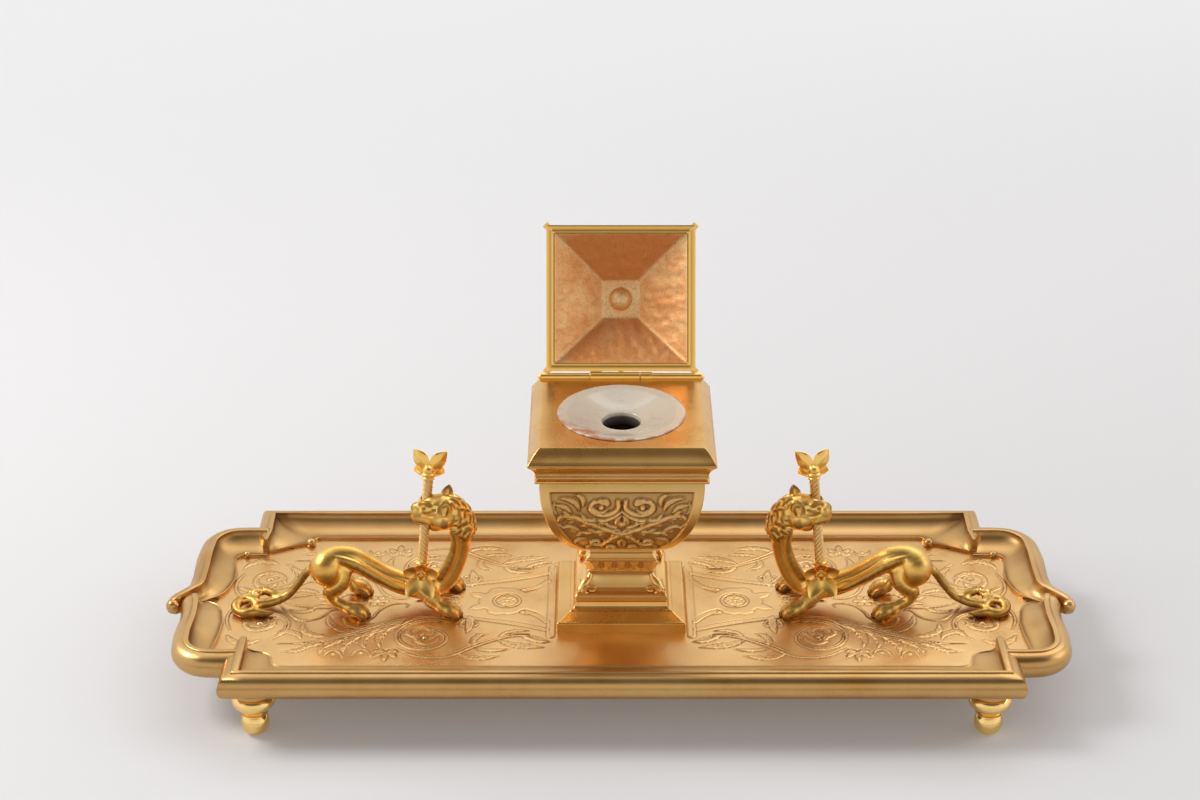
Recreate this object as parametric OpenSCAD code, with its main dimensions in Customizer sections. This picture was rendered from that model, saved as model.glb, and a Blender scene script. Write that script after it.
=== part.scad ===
// Desk inkstand in gilt bronze: a footed tray with brace-shaped ends, a square inkwell
// on a pedestal with a hinged lid, and two crouching beasts that bite rope-twist rods.

/* [Tray] */
// Length of the main rectangle, measured over its rim fillets
main_l = 282; // [250:2:320]
// Width of the main rectangle, measured over its rim fillets
main_w = 122; // [112:2:150]
// How far each end lobe stands out past the main rectangle
lobe_out = 21; // [16:1:34]
// Width of the end lobes, measured over their rim fillets
lobe_w = 93; // [84:1:100]
// Corner radius of the end lobes
lobe_r = 10; // [5:0.5:14]
// How far the pointed ear stands out past the lobe's fillet
ear_out = 12.6; // [9:0.2:16]
// Height of the rim moulding
rim_h = 10.4; // [8.5:0.2:14]
// How far the rim moulding bulges outside its fillet
rim_bulge = 5.8; // [4:0.2:8]
// Width of the flat fillet on top of the rim
fillet_w = 2; // [1.2:0.1:3]
// Depth of the floor below the fillet
floor_drop = 6.4; // [4:0.2:7]
// Thickness of the floor
floor_t = 3; // [2:0.2:4]
// Step from the ridge inside the rim down to the floor
ridge_step = 1; // [0.5:0.1:1.6]
// Width of the hollow inside the long sides
cove_side = 11.5; // [8:0.5:16]
// Width of the hollow inside the ends of the lobes
cove_end = 9; // [6:0.5:12]

/* [Feet] */
// Height of a foot
foot_h = 18.2; // [16:0.2:26]
// Diameter of the bun at the top of a foot
bun_d = 16.1; // [12:0.1:20]
// Diameter of the ball at the bottom of a foot
ball_d = 10.6; // [8:0.1:11.6]
// Diameter of the stud that holds a foot
stud_d = 4; // [3:0.2:5]
// How far the feet stand in from the fillets, along and across the tray
foot_inset = [6, 4]; // [3:0.5:12]

/* [Pedestal] */
// Width of the square slab
slab_w = 48.7; // [42:0.1:56]
// Height of the slab's upright edge
slab_h = 4.2; // [3:0.1:6]
// Height of the slab's bevel and the hollow above it
bevel_h = 5.3; // [4:0.1:8]
// Width of the block that the neck stands on
block_w = 33.9; // [30:0.1:40]
// Height of the block
block_h = 3.2; // [2:0.1:5]
// Width of the neck at its top
neck_w = 22.4; // [20:0.1:26]
// Height of the tapered neck
neck_h = 6.9; // [5:0.1:12]
// Width of the collar under the bowl
collar_w = 26.6; // [25:0.1:29]
// Height of the collar
collar_h = 8.2; // [6:0.1:11]
// Number of nail heads along each side of the collar
collar_studs = 5; // [3:1:7]

/* [Inkwell] */
// Half of the width of the bowl at its rim
bowl_half = 30.2; // [28:0.1:33]
// Height of the bowl
bowl_h = 39.4; // [34:0.2:46]
// Radius of the bore that holds the ink cup
cup_bore_r = 20.3; // [18:0.1:21]
// Depth of the sunk panels on the bowl
panel_sink = 0.8; // [0.4:0.1:1.2]
// Height of the cornice
cornice_h = 14.1; // [12:0.1:18]
// Width of the cornice across its lip
lip_w = 68.6; // [66:0.1:74]
// Width of the flat top
top_w = 59.8; // [58.4:0.1:63]

/* [Ink cup] */
// Diameter of the flange
flange_d = 47.7; // [44:0.1:48]
// How far the flange stands above the flat top
flange_t = 0.6; // [0.4:0.1:1]
// Diameter of the dipping hole
dip_d = 14; // [9:0.5:18]
// Depth of the funnel from the rim to the dipping hole
funnel_h = 4.8; // [3:0.1:7]
// Depth of the cup below the flat top
cup_h = 37; // [24:0.5:40]
// Wall thickness of the cup
cup_wall = 2.6; // [1.8:0.1:3.4]
// Clearance between the cup and its bore
cup_gap = 0.4; // [0.2:0.1:0.8]

/* [Lid] */
// Width of the lid
lid_w = 57.2; // [54:0.1:58]
// Depth of the lid from back to front
lid_d = 56; // [52:0.1:57]
// Thickness of the lid's rim
lid_rim = 5.2; // [3.5:0.1:7]
// Width of the flat border on the underside of the rim
lid_border = 3.2; // [2.4:0.1:3.4]
// Depth of the hollow inside the lid
lid_hollow = 14; // [11:0.5:18]
// Wall thickness of the lid's pyramid
lid_wall = 1.8; // [1.2:0.1:3]
// Width of the small square at the bottom of the hollow
lid_seat = 14.6; // [12:0.1:18]
// How far the lid leans back past upright when it is open
lid_lean = 25; // [15:1:35]
// Diameter of the ball on the outside of the lid
finial_d = 6.4; // [5:0.2:7]
// Radius of the domed nut inside the lid
dome_r = 4.35; // [3:0.05:5.5]
// Width of the corner studs
corner_stud = 3; // [2:0.1:4]

/* [Hinge] */
// Diameter of the bar along the back edge
bar_d = 3; // [2.6:0.1:3.6]
// Diameter of the hinge barrel
barrel_d = 3.8; // [3.4:0.1:4]
// Length of the hinge barrel
barrel_l = 24; // [18:0.5:32]
// Length of the fixed knuckle
knuckle_l = 4.6; // [3:0.1:7]
// Diameter of the hinge pin
pin_d = 1.6; // [1.2:0.1:2]
// Radial clearance of the pin in the lid's knuckle
pin_gap = 0.06; // [0.03:0.01:0.1]
// Gap between the lid's back face and the hinge axis
lid_back = 2.2; // [2.1:0.05:2.8]

/* [Beasts] */
// Distance from the middle of the tray to the tip of a front paw
beast_x = 59.6; // [52:0.5:66]
// Length of a beast from its front paw to the end of its tail
beast_l = 90; // [76:1:92]
// Height of a beast over its ear
beast_h = 52; // [42:1:60]
// Width of a beast across its front paws
beast_w = 28; // [25:0.5:32]
// Thickness of a beast's body
body_d = 9.4; // [7:0.2:11]
// Diameter of the rope-twist rod
rod_d = 3.8; // [3:0.1:4.6]
// Length of the rope-twist rod
rod_l = 40; // [34:0.5:46]
// How far the rod leans sideways and backwards from bottom to top
rod_lean = [3.5, 9]; // [0:0.5:12]
// Turns of the rod's twist
rod_turns = 4; // [2:0.5:6]
// Width across the petals of a flower
flower_d = 14; // [10:0.5:17]
// Number of petals
petals = 5; // [4:1:7]

/* [Fasteners] */
// Diameter of the bolt through the pedestal
bolt_d = 5; // [4:0.5:6]
// Diameter of the screws that hold the beasts
screw_d = 2.4; // [2:0.1:3]
// Radial clearance round studs, bolts and screws
hole_gap = 0.1; // [0.05:0.05:0.3]

/* [Hidden] */

gilt = "goldenrod";
gilt_bright = "gold";
steel = "silver";
glaze = "ivory";
$fn = 48;

// Levels of the tray
under_z = foot_h;
rim_z = under_z + rim_h;
floor_z = rim_z - floor_drop;
plate_z = floor_z - floor_t;
ridge_z = floor_z + ridge_step;

// Plan of the tray
main_x = main_l / 2;
main_y = main_w / 2;
lobe_x = main_x + lobe_out;
lobe_y = lobe_w / 2;
fin_y = lobe_y - 8.5;
quirk = 0.6;

// Levels of the pedestal and the well
base_top = floor_z + slab_h + bevel_h;
neck_top = base_top + block_h + neck_h;
collar_top = neck_top + collar_h;
bowl_top = collar_top + bowl_h;
plate_top = bowl_top + cornice_h;

// Hinge axis, at the back top edge of the cornice
axis_y = top_w / 2 + 0.1;
axis_z = plate_top + 0.4;
seat_gap = 0.1;
lid_open = 90 + lid_lean;

// Frame of a beast: drawn to these sizes, then set to its own
grow_x = beast_l / 90;
grow_z = beast_h / 52;
grow_y = beast_w / 28;
grow_r = body_d / 9.4;

function mix(a, b, t) = a + (b - a) * t;
function unit(v) = v / norm(v);

// ---- shapes that several pieces share ----

// Solid through rectangles: each level is [half width, half depth, height]
module box_loft(levels) {
    n = len(levels);
    corners = [[-1, -1], [1, -1], [1, 1], [-1, 1]];
    points = [for (l = levels) for (c = corners) [c.x * l[0], c.y * l[1], l[2]]];
    sides = [for (i = [0 : n - 2]) for (k = [0 : 3])
        [4 * i + k, 4 * i + 4 + k, 4 * i + 4 + (k + 1) % 4, 4 * i + (k + 1) % 4]];
    ends = [[0, 1, 2, 3], [for (k = [3 : -1 : 0]) 4 * n - 4 + k]];
    polyhedron(points, concat(sides, ends));
}

module square_loft(levels) {
    box_loft([for (l = levels) [l[0], l[0], l[1]]]);
}

// Solid through closed rings of equal length, with flat ends
module skin(rings) {
    n = len(rings);
    m = len(rings[0]);
    points = [for (r = rings) each r];
    sides = [for (i = [0 : n - 2]) for (k = [0 : m - 1]) each [
        [m * i + k, m * i + m + k, m * i + (k + 1) % m],
        [m * i + (k + 1) % m, m * i + m + k, m * i + m + (k + 1) % m]]];
    ends = [[for (k = [0 : m - 1]) k], [for (k = [m - 1 : -1 : 0]) m * n - m + k]];
    polyhedron(points, concat(sides, ends));
}

// Smooth curve through points, by Catmull-Rom, with steps stretches between two points
function curve_at(p, i, t) =
    let (a = p[max(i - 1, 0)], b = p[i], c = p[i + 1], d = p[min(i + 2, len(p) - 1)])
    0.5 * (2 * b + (c - a) * t + (2 * a - 5 * b + 4 * c - d) * t * t
        + (3 * b - a - 3 * c + d) * t * t * t);
function smooth(p, steps) = concat(
    [for (i = [0 : len(p) - 2]) for (s = [0 : steps - 1]) curve_at(p, i, s / steps)],
    [p[len(p) - 1]]);

// Tube along [x, y, z, radius] points that stay near a plane of constant y
function ring_at(p, q, c, sides) =
    let (dir = unit([q.x - p.x, q.y - p.y, q.z - p.z]),
        across = unit(cross([0, 1, 0], dir)),
        up = cross(dir, across))
    [for (k = [0 : sides - 1]) let (a = 360 * k / sides)
        [c.x, c.y, c.z] + c[3] * (across * cos(a) + up * sin(a))];
module tube(points, steps, sides) {
    p = smooth(points, steps);
    n = len(p);
    skin([for (i = [0 : n - 1]) ring_at(p[max(i - 1, 0)], p[min(i + 1, n - 1)], p[i], sides)]);
}

// ---- tray ----

// Section of the rim at one station: outer point o, fillet f, ridge r, and height share h
function rim_ring(o, f, r, h = 1) =
    let (top = mix(under_z + rim_h * 0.5, rim_z, h),
        low = mix(under_z + rim_h * 0.5, under_z, h),
        mid = (top - quirk + low) / 2,
        half = (top - quirk - low) / 2,
        edge = fillet_w / 2 / rim_bulge,
        inner = min(fillet_w / 2 / norm(r - f), 0.45),
        toe = r + unit(r - f) * 0.5,
        at = function (q, z) [q.x, q.y, z])
    concat(
        [at(f + (o - f) * edge * 0.8, top)],
        [for (a = [90 : -22.5 : -90]) at(f + (o - f) * mix(edge, 1, cos(a)), mid + half * sin(a))],
        [at(f, low), at(mix(f, r, 0.7), min(low + 1.4, floor_z - 0.8)), at(toe, floor_z - 0.8)],
        [at(toe, ridge_z)],
        [for (b = [0 : 18 : 90]) at(mix(f, r, mix(inner, 1, 1 - sin(b))),
            ridge_z + (top - quirk - ridge_z) * (1 - cos(b)))],
        [at(mix(f, r, inner), top)]);

// One front corner of the main rim, from the fin that stands in the lobe to the long side
function corner_stations(side) =
    let (x = main_x, y = main_y, b = rim_bulge, e = x - 22, ry = y - cove_side)
    [for (s = [
        [[x + 2, fin_y], [x + 1, fin_y], [x - 1.4, fin_y]],
        [[x + 3.2, fin_y + 3.5], [x + 0.6, fin_y + 3.5], [x - 7, fin_y + 3]],
        [[x + b, lobe_y], [x, lobe_y], [x - 11, fin_y + 5]],
        [[x + b, mix(lobe_y, y, 0.6)], [x, mix(lobe_y, y, 0.6)], [x - 15.6, fin_y + 6.8]],
        [[x + b, y + b], [x, y], [x - 17, ry - 3]],
        [[x - 9, y + b], [x - 9, y], [x - 18.5, ry - 0.4]],
        [[e, y + b], [e, y], [e - 2, ry]]])
        [for (p = s) [side * p.x, -p.y]]];

module main_rim() {
    left = corner_stations(-1);
    right = corner_stations(1);
    path = concat(left, [for (i = [len(right) - 1 : -1 : 0]) right[i]]);
    skin([for (s = path) rim_ring(s[0], s[1], s[2])]);
}

// Rounded corner of a lobe: fillet and ridge turn about their own centres
function lobe_turn(x, y, b, rx, ry) =
    [for (a = [90 : -18 : 0]) let (d = [cos(a), sin(a)], c = [x - lobe_r, y - lobe_r],
        k = [rx - 3.5, ry - 3.5])
        [c + d * (lobe_r + b), c + d * lobe_r, k + d * 3.5, 1]];

// Back half of a lobe's rim: it runs out into the tip of the ear
function back_stations() =
    let (x = lobe_x, y = lobe_y, b = rim_bulge, rx = x - cove_end, ry = y - cove_side,
        tip = x + ear_out)
    concat(
        [[[main_x, y + b], [main_x, y], [main_x, ry], 1]],
        lobe_turn(x, y, b, rx, ry),
        [[[x + b, 9], [x, 9], [rx, 8], 1],
        [[x + b + 0.7, 4.5], [x + 0.2, 5], [rx + 2.5, 3.2], 1],
        [[x + b + 2.6, 1.6], [x + 1.4, 2], [rx + 5.5, 0.4], 1],
        [[mix(x, tip, 0.84), -0.6], [x + 4, -0.8], [x + 1, -2.6], 0.92],
        [[mix(x, tip, 0.97), -3.2], [x + 7.6, -4], [x + 5.4, -5.4], 0.8],
        [[tip, -6], [x + 9.8, -6.6], [x + 8.2, -7.2], 0.6],
        [[tip - 0.9, -8.6], [x + 10.3, -8.6], [x + 9.2, -8.6], 0.3]]);

// Front half of a lobe's rim: it starts behind the ear with a rounded end
function front_stations() =
    let (x = lobe_x, y = lobe_y, b = rim_bulge, rx = x - cove_end, ry = y - cove_side,
        turn = lobe_turn(x, y, b, rx, ry), n = len(turn))
    concat(
        [[[x + 5.6, -2.4], [x + 3.6, -1.8], [x + 2.6, -1.5], 0.3],
        [[x + b + 1.2, -6.4], [x + 2, -4.6], [rx + 6.4, -2.4], 0.97],
        [[x + b + 0.6, -10.5], [x + 0.6, -8.6], [rx + 2.6, -4.4], 1],
        [[x + b, -15], [x, -14], [rx, -9.5], 1]],
        [for (i = [n - 1 : -1 : 0]) [for (j = [0 : 2]) [turn[i][j].x, -turn[i][j].y]]],
        [[[main_x, -y - b], [main_x, -y], [main_x, -ry], 1]]);

module lobe_rim() {
    back = back_stations();
    skin([for (i = [len(back) - 1 : -1 : 0]) let (s = back[i]) rim_ring(s[0], s[1], s[2], s[3])]);
    front = front_stations();
    skin([for (i = [len(front) - 1 : -1 : 0]) let (s = front[i])
        rim_ring(s[0], s[1], s[2], s[3] == undef ? 1 : s[3])]);
}

module both_sides() {
    children();
    mirror([1, 0, 0]) children();
}

module four_corners() {
    both_sides() {
        children();
        mirror([0, 1, 0]) children();
    }
}

module floor_plate() {
    translate([0, 0, plate_z]) linear_extrude(floor_t) {
        square([main_l, main_w - 1], center = true);
        square([2 * (lobe_x - lobe_r), lobe_w - 1], center = true);
        square([2 * lobe_x - 1, lobe_w - 2 * lobe_r], center = true);
        for (sx = [-1, 1], sy = [-1, 1])
            translate([sx * (lobe_x - lobe_r), sy * (lobe_y - lobe_r)]) circle(r = lobe_r - 0.5);
    }
}

foot_x = main_x - foot_inset.x;
foot_y = main_y - foot_inset.y;
stud_l = 5;

module tray() {
    color(gilt) difference() {
        union() {
            floor_plate();
            main_rim();
            mirror([0, 1, 0]) main_rim();
            both_sides() lobe_rim();
            four_corners() {
                translate([foot_x, foot_y, under_z]) cylinder(d = bun_d, h = rim_h / 2);
                translate([main_x - 17, main_y - cove_side - 4.6, ridge_z]) sphere(r = 1.9, $fn = 24);
                translate([lobe_x - cove_end - 4, lobe_y - cove_side, ridge_z]) sphere(r = 1.5, $fn = 24);
            }
        }
        four_corners() translate([foot_x, foot_y, under_z - 1])
            cylinder(d = stud_d + 2 * hole_gap, h = stud_l + 1.4);
        translate([0, 0, plate_z - 1]) cylinder(d = bolt_d + 2 * hole_gap, h = floor_t + 2);
        both_sides() for (p = screw_points()) translate([p.x, p.y, plate_z - 1])
            cylinder(d = screw_d + 2 * hole_gap, h = floor_t + 2);
    }
}

// ---- feet ----

module foot() {
    pad_r = 2.6;
    ball_r = ball_d / 2;
    neck_r = ball_r * 0.85;
    ball_z = sqrt(ball_r * ball_r - pad_r * pad_r);
    neck_z = ball_z + sqrt(ball_r * ball_r - neck_r * neck_r) * 1.6;
    bun_z = (neck_z + foot_h) / 2 + 0.4;
    bun_h = foot_h - bun_z;
    rotate_extrude() polygon(concat(
        [[0, 0]],
        [for (a = [-acos(pad_r / ball_r) : 15 : 40]) [ball_r * cos(a), ball_z + ball_r * sin(a)]],
        [[neck_r, neck_z - 0.6], [neck_r * 1.08, neck_z]],
        [for (a = [-72 : 14.4 : 72]) [bun_d / 2 * cos(a) ^ 0.8, bun_z + bun_h * sin(a)]],
        [[bun_d * 0.36, foot_h], [stud_d / 2, foot_h], [stud_d / 2, foot_h + stud_l], [0, foot_h + stud_l]]));
}

module foot_at(sx, sy) {
    color(gilt_bright) translate([sx * foot_x, sy * foot_y, 0]) foot();
}

// ---- pedestal ----

module bolt_hole(z0, z1) {
    translate([0, 0, z0]) cylinder(d = bolt_d + 2 * hole_gap, h = z1 - z0);
}

module pedestal_base() {
    s = slab_w / 2;
    b = block_w / 2;
    z1 = floor_z + slab_h;
    color(gilt) difference() {
        square_loft([
            [s, floor_z], [s, z1], [s - 0.5, z1 + 0.6],
            [mix(b, s, 0.3), mix(z1, base_top, 0.52)], [mix(b, s, 0.17), mix(z1, base_top, 0.58)],
            [mix(b, s, 0.06), mix(z1, base_top, 0.8)], [b, base_top]]);
        bolt_hole(floor_z - 1, base_top + 1);
    }
}

module pedestal_neck() {
    b = block_w / 2;
    n = neck_w / 2;
    block_top = base_top + block_h;
    color(gilt) difference() {
        union() {
            square_loft([
                [b, base_top], [b + 0.4, base_top + block_h * 0.25], [b + 0.4, base_top + block_h * 0.75],
                [b - 0.2, block_top], [mix(n, b, 0.62), block_top + 0.3],
                [mix(n, b, 0.3), mix(block_top, neck_top, 0.4)], [n, mix(block_top, neck_top, 0.9)],
                [n + 0.3, neck_top]]);
            for (a = [45 : 90 : 315]) rotate(a) hull() {
                translate([(b - 1.6) * sqrt(2), 0, block_top + 0.5]) sphere(r = 1.7, $fn = 12);
                translate([(n - 0.4) * sqrt(2), 0, neck_top - 1.6]) sphere(r = 1.1, $fn = 12);
            }
        }
        bolt_hole(base_top - 1, neck_top + 1);
    }
}

module bead_collar() {
    c = collar_w / 2;
    n = neck_w / 2;
    pitch = collar_w / collar_studs;
    stud_h = collar_h * 0.5;
    mid = neck_top + collar_h * 0.34;
    color(gilt) difference() {
        union() {
            square_loft([
                [n + 0.3, neck_top], [c - 1, neck_top + collar_h * 0.08], [c - 1, neck_top + collar_h * 0.62],
                [c, neck_top + collar_h * 0.66], [c, neck_top + collar_h * 0.76],
                [bowl_foot() + 0.2, collar_top - 0.4], [bowl_foot() + 0.2, collar_top]]);
            for (a = [0 : 90 : 270]) rotate(a)
                for (i = [0 : collar_studs - 1])
                    translate([(i - (collar_studs - 1) / 2) * (pitch - 0.35), 1.2 - c, mid])
                        rotate([90, 0, 0]) rotate(45)
                            cylinder(r1 = stud_h * 0.68, r2 = 0.1, h = 1.9, $fn = 4);
        }
        bolt_hole(neck_top - 1, collar_top + 1);
    }
}

// ---- inkwell ----

// Half width of the bowl at angle a of its oval flank
bowl_mid = 4;
function bowl_x(a) = bowl_mid + (bowl_half - bowl_mid) * cos(a);
function bowl_z(a) = bowl_top - 1 - (bowl_h - 0.4) * sin(a);
bowl_turn = 73;
function bowl_foot() = bowl_x(bowl_turn);

module bowl_form(inset) {
    square_loft(concat(
        [[bowl_foot() - inset, collar_top]],
        [for (a = [bowl_turn - 3 : -7 : 0]) [bowl_x(a) - inset, bowl_z(a)]],
        [[bowl_half - inset, bowl_top]]));
}

// Outline of a sunk panel, narrower below, on the flank of the bowl
module panel_outline() {
    frame = 3.6;
    top_a = 4;
    low_a = 56;
    right = [for (a = [top_a : 6.5 : low_a]) [bowl_x(a) - frame, bowl_z(a)]];
    polygon(concat(right, [for (i = [len(right) - 1 : -1 : 0]) [-right[i].x, right[i].y]]));
}

module cup_hole(z0, z1) {
    translate([0, cup_y, z0]) cylinder(r = cup_bore_r, h = z1 - z0, $fn = 64);
}

cup_y = -0.9;
cup_floor = plate_top - cup_h;
well_floor = cup_floor - 0.5;
pocket_floor = collar_top + 4;

module well_bowl() {
    color(gilt) difference() {
        bowl_form(0);
        for (a = [0 : 90 : 270]) rotate(a) difference() {
            rotate([90, 0, 0]) linear_extrude(bowl_half + 1) panel_outline();
            bowl_form(panel_sink);
        }
        cup_hole(well_floor, bowl_top + 1);
        translate([0, 0, pocket_floor]) cylinder(d = 2.4 * bolt_d, h = well_floor - pocket_floor + 1);
        bolt_hole(collar_top - 1, pocket_floor + 1);
    }
}

module well_cornice() {
    b = bowl_half;
    l = lip_w / 2;
    t = top_w / 2;
    z = function (share) bowl_top + cornice_h * share;
    color(gilt_bright) difference() {
        square_loft([
            [b, bowl_top], [b + 1.1, z(0.02)], [b + 1.4, z(0.06)], [b + 1.1, z(0.1)], [b + 0.5, z(0.12)],
            [mix(b, l, 0.16), z(0.24)], [mix(b, l, 0.36), z(0.38)], [mix(b, l, 0.68), z(0.5)],
            [l, z(0.56)], [l, z(0.63)], [l - 0.5, z(0.66)],
            [mix(t, l, 0.74), z(0.78)], [mix(t, l, 0.42), z(0.91)], [t, plate_top]]);
        cup_hole(bowl_top - 1, plate_top + 1);
        along_axis(-top_w / 2 - 3, top_w / 2 + 3) circle(d = bar_d + 0.1);
        along_axis(-barrel_l / 2 - 0.2, barrel_l / 2 + 0.2) circle(d = barrel_d + 0.5);
    }
}

// ---- ink cup ----

module ink_cup() {
    rim_r = flange_d / 2;
    body_r = cup_bore_r - cup_gap;
    in_r = body_r - cup_wall;
    dip_r = dip_d / 2;
    rim_top = plate_top + flange_t;
    throat_z = rim_top - funnel_h;
    shoulder = throat_z - 4;
    color(glaze) translate([0, cup_y, 0]) rotate_extrude($fn = 96) polygon(concat(
        [[0, cup_floor], [body_r - 1.5, cup_floor], [body_r, cup_floor + 1.5], [body_r, plate_top],
        [rim_r - 0.3, plate_top], [rim_r, plate_top + 0.2], [rim_r, rim_top - 0.2], [rim_r - 0.4, rim_top]],
        [for (i = [8 : -1 : 0]) let (s = i / 8)
            [mix(dip_r, body_r - 0.8, s), mix(throat_z, rim_top - flange_t / 2, s ^ 1.7)]],
        [[dip_r, shoulder], [in_r, shoulder - 2.5], [in_r, cup_floor + cup_wall + 1.5],
        [in_r - 1.5, cup_floor + cup_wall], [0, cup_floor + cup_wall]]));
}

// ---- hinge and lid ----

// Extrudes a profile along the hinge axis from x0 to x1
module along_axis(x0, x1) {
    translate([x0, axis_y, axis_z]) rotate([90, 0, 90]) linear_extrude(x1 - x0) children();
}

bar_end = top_w / 2 + 0.6;
knuckle_x = barrel_l / 2 - knuckle_l;
pin_end = barrel_l / 2 + 4;
play = 0.15;

module hinge_bar() {
    color(gilt_bright) difference() {
        union() {
            along_axis(barrel_l / 2, bar_end) circle(d = bar_d);
            along_axis(-bar_end, -barrel_l / 2) circle(d = bar_d);
            for (s = [-1, 1]) translate([s * bar_end, axis_y, axis_z]) sphere(d = bar_d);
            along_axis(knuckle_x, barrel_l / 2) circle(d = barrel_d);
        }
        along_axis(-pin_end - 0.2, pin_end + 0.2) circle(d = pin_d + 0.08);
    }
}

module hinge_pin() {
    color(steel) along_axis(-pin_end, pin_end) circle(d = pin_d);
}

// Everything on the lid is drawn closed, in a frame with its origin on the hinge axis
module opened() {
    translate([0, axis_y, axis_z]) rotate([-lid_open, 0, 0]) children();
}

lid_low = plate_top - axis_z + seat_gap;
lid_mid = -lid_back - lid_d / 2;
lid_step = 1.2;
roof_z = lid_low + lid_hollow + lid_wall;
block_top_z = roof_z + 2.4;

module lid_knuckle() {
    web_l = knuckle_l;
    rotate([90, 0, 90]) {
        translate([0, 0, -barrel_l / 2 + play]) linear_extrude(barrel_l - knuckle_l - 2 * play)
            circle(d = barrel_d);
    }
    for (x = [-barrel_l / 2 + play, -0.8])
        translate([x, -lid_back - 1.2, lid_low + 1.4])
            cube([x < -1 ? web_l - play : 1.6, lid_back + 0.2, 1.6]);
}

module lid() {
    w = lid_w / 2;
    d = lid_d / 2;
    iw = w - lid_border;
    id = d - lid_border;
    seat = lid_seat / 2;
    color(gilt_bright) opened() difference() {
        union() {
            translate([0, lid_mid, lid_low]) difference() {
                box_loft([
                    [w, d, 0], [w, d, lid_rim * 0.3], [w - 0.5, d - 0.5, lid_rim * 0.4],
                    [w - 0.5, d - 0.5, lid_rim * 0.8], [w - 0.9, d - 0.9, lid_rim],
                    [seat + lid_wall + 1, seat + lid_wall + 1, lid_hollow + lid_wall],
                    [seat + lid_wall + 1, seat + lid_wall + 1, lid_hollow + lid_wall + 1.6],
                    [seat + lid_wall, seat + lid_wall, lid_hollow + lid_wall + 2.4]]);
                box_loft([[iw, id, -1], [iw, id, lid_step], [seat, seat, lid_hollow],
                    [seat - 0.6, seat - 0.6, lid_hollow + 0.4]]);
                cylinder(d = stem_d + 2 * hole_gap, h = 40);
            }
            lid_knuckle();
        }
        at_lid_corners() translate([-corner_stud / 2 - 0.02, -corner_stud / 2 - 0.02, 0])
            cube([corner_stud + 0.04, corner_stud + 0.04, 2]);
        rotate([90, 0, 90]) translate([0, 0, -barrel_l]) linear_extrude(2 * barrel_l)
            circle(d = pin_d + 2 * pin_gap);
    }
}

stem_d = 3;
grip = 2;
nut_z = lid_low + lid_hollow + 0.4;

module lid_finial() {
    r = finial_d / 2;
    stem = block_top_z - nut_z + grip;
    color(gilt_bright) opened() translate([0, lid_mid, block_top_z]) rotate_extrude() polygon(concat(
        [[0, -stem], [stem_d / 2, -stem], [stem_d / 2, 0], [r * 0.9, 0], [r * 0.9, 0.8], [r * 0.45, 1.6]],
        [for (a = [-60 : 15 : 75]) [r * cos(a), 1.6 + r * 0.87 + r * sin(a)]],
        [[0, 1.6 + r * 1.87]]));
}

module finial_nut() {
    hole_r = stem_d / 2 + 0.05;
    color(gilt_bright) opened() translate([0, lid_mid, nut_z]) rotate([180, 0, 0]) rotate_extrude()
        polygon(concat([[0, grip + 0.2], [hole_r, grip + 0.2], [hole_r, 0], [dome_r, 0], [dome_r, 0.5]],
            [for (a = [10 : 16 : 74]) [dome_r * cos(a), 0.5 + dome_r * 0.75 * sin(a)]],
            [[0, 0.5 + dome_r * 0.75]]));
}

module at_lid_corners() {
    translate([0, lid_mid, lid_low + lid_rim]) for (sx = [-1, 1], sy = [-1, 1])
        translate([sx * (lid_w / 2 - 0.3), sy * (lid_d / 2 - 0.3), 0]) rotate(45) children();
}

module lid_corner_studs() {
    c = corner_stud;
    color(gilt_bright) opened() at_lid_corners() {
        translate([-c / 2, -c / 2, 0]) cube([c, c, 0.8]);
        translate([0, 0, 0.8]) rotate(45) cylinder(r1 = c * 0.7, r2 = 0.1, h = c * 0.45, $fn = 4);
    }
}

// ---- fasteners ----

nut_h = 3.4;
washer_h = 1;

module centre_bolt() {
    color(steel) {
        translate([0, 0, plate_z - washer_h - nut_h - 1.4])
            cylinder(d = bolt_d, h = pocket_floor - plate_z + washer_h + nut_h + 1.4);
        translate([0, 0, pocket_floor]) cylinder(d = 1.9 * bolt_d, h = 0.6 * bolt_d);
    }
}

module centre_washer() {
    color(steel) translate([0, 0, plate_z - washer_h]) difference() {
        cylinder(d = 2.6 * bolt_d, h = washer_h);
        translate([0, 0, -1]) cylinder(d = bolt_d + 2 * hole_gap, h = washer_h + 2);
    }
}

module centre_nut() {
    color(steel) translate([0, 0, plate_z - washer_h - nut_h]) difference() {
        cylinder(d = 2 * bolt_d, h = nut_h, $fn = 6);
        translate([0, 0, -1]) cylinder(d = bolt_d + 2 * hole_gap, h = nut_h + 2);
    }
}

// ---- beasts ----

// Point of a beast: t back from the front paw, y across, h above the floor, as drawn
function at_beast(t, y, h) = [beast_x + t * grow_x, y * grow_y, floor_z + h * grow_z];
function beast_line(points) = [for (p = points)
    [beast_x + p[0] * grow_x, p[1] * grow_y, floor_z + p[2] * grow_z, p[3] * grow_r]];

// Toe tips of the paws, back from the front paw and across: the first two are screwed down
paws = [[1.4, -11], [36.6, -11.6], [1.4, 10.2], [37, 6]];
function screw_points() = [for (i = [0, 1]) at_beast(paws[i].x + 3, paws[i].y, 0)];

module limb(points, sides = 7) {
    tube(beast_line(points), 2, sides);
}

module paw(t, y) {
    for (k = [-1, 0, 1]) hull() {
        translate(at_beast(t + 4, y, 2.3)) sphere(r = 2.2 * grow_r, $fn = 8);
        translate(at_beast(t + abs(k) * 0.6, y + k * 2, 1.3)) sphere(r = 1.4 * grow_r, $fn = 8);
    }
    translate(at_beast(t + 3, y, -0.5)) cylinder(r = 2.2 * grow_r, h = 2.1 * grow_z, $fn = 8);
}

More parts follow.
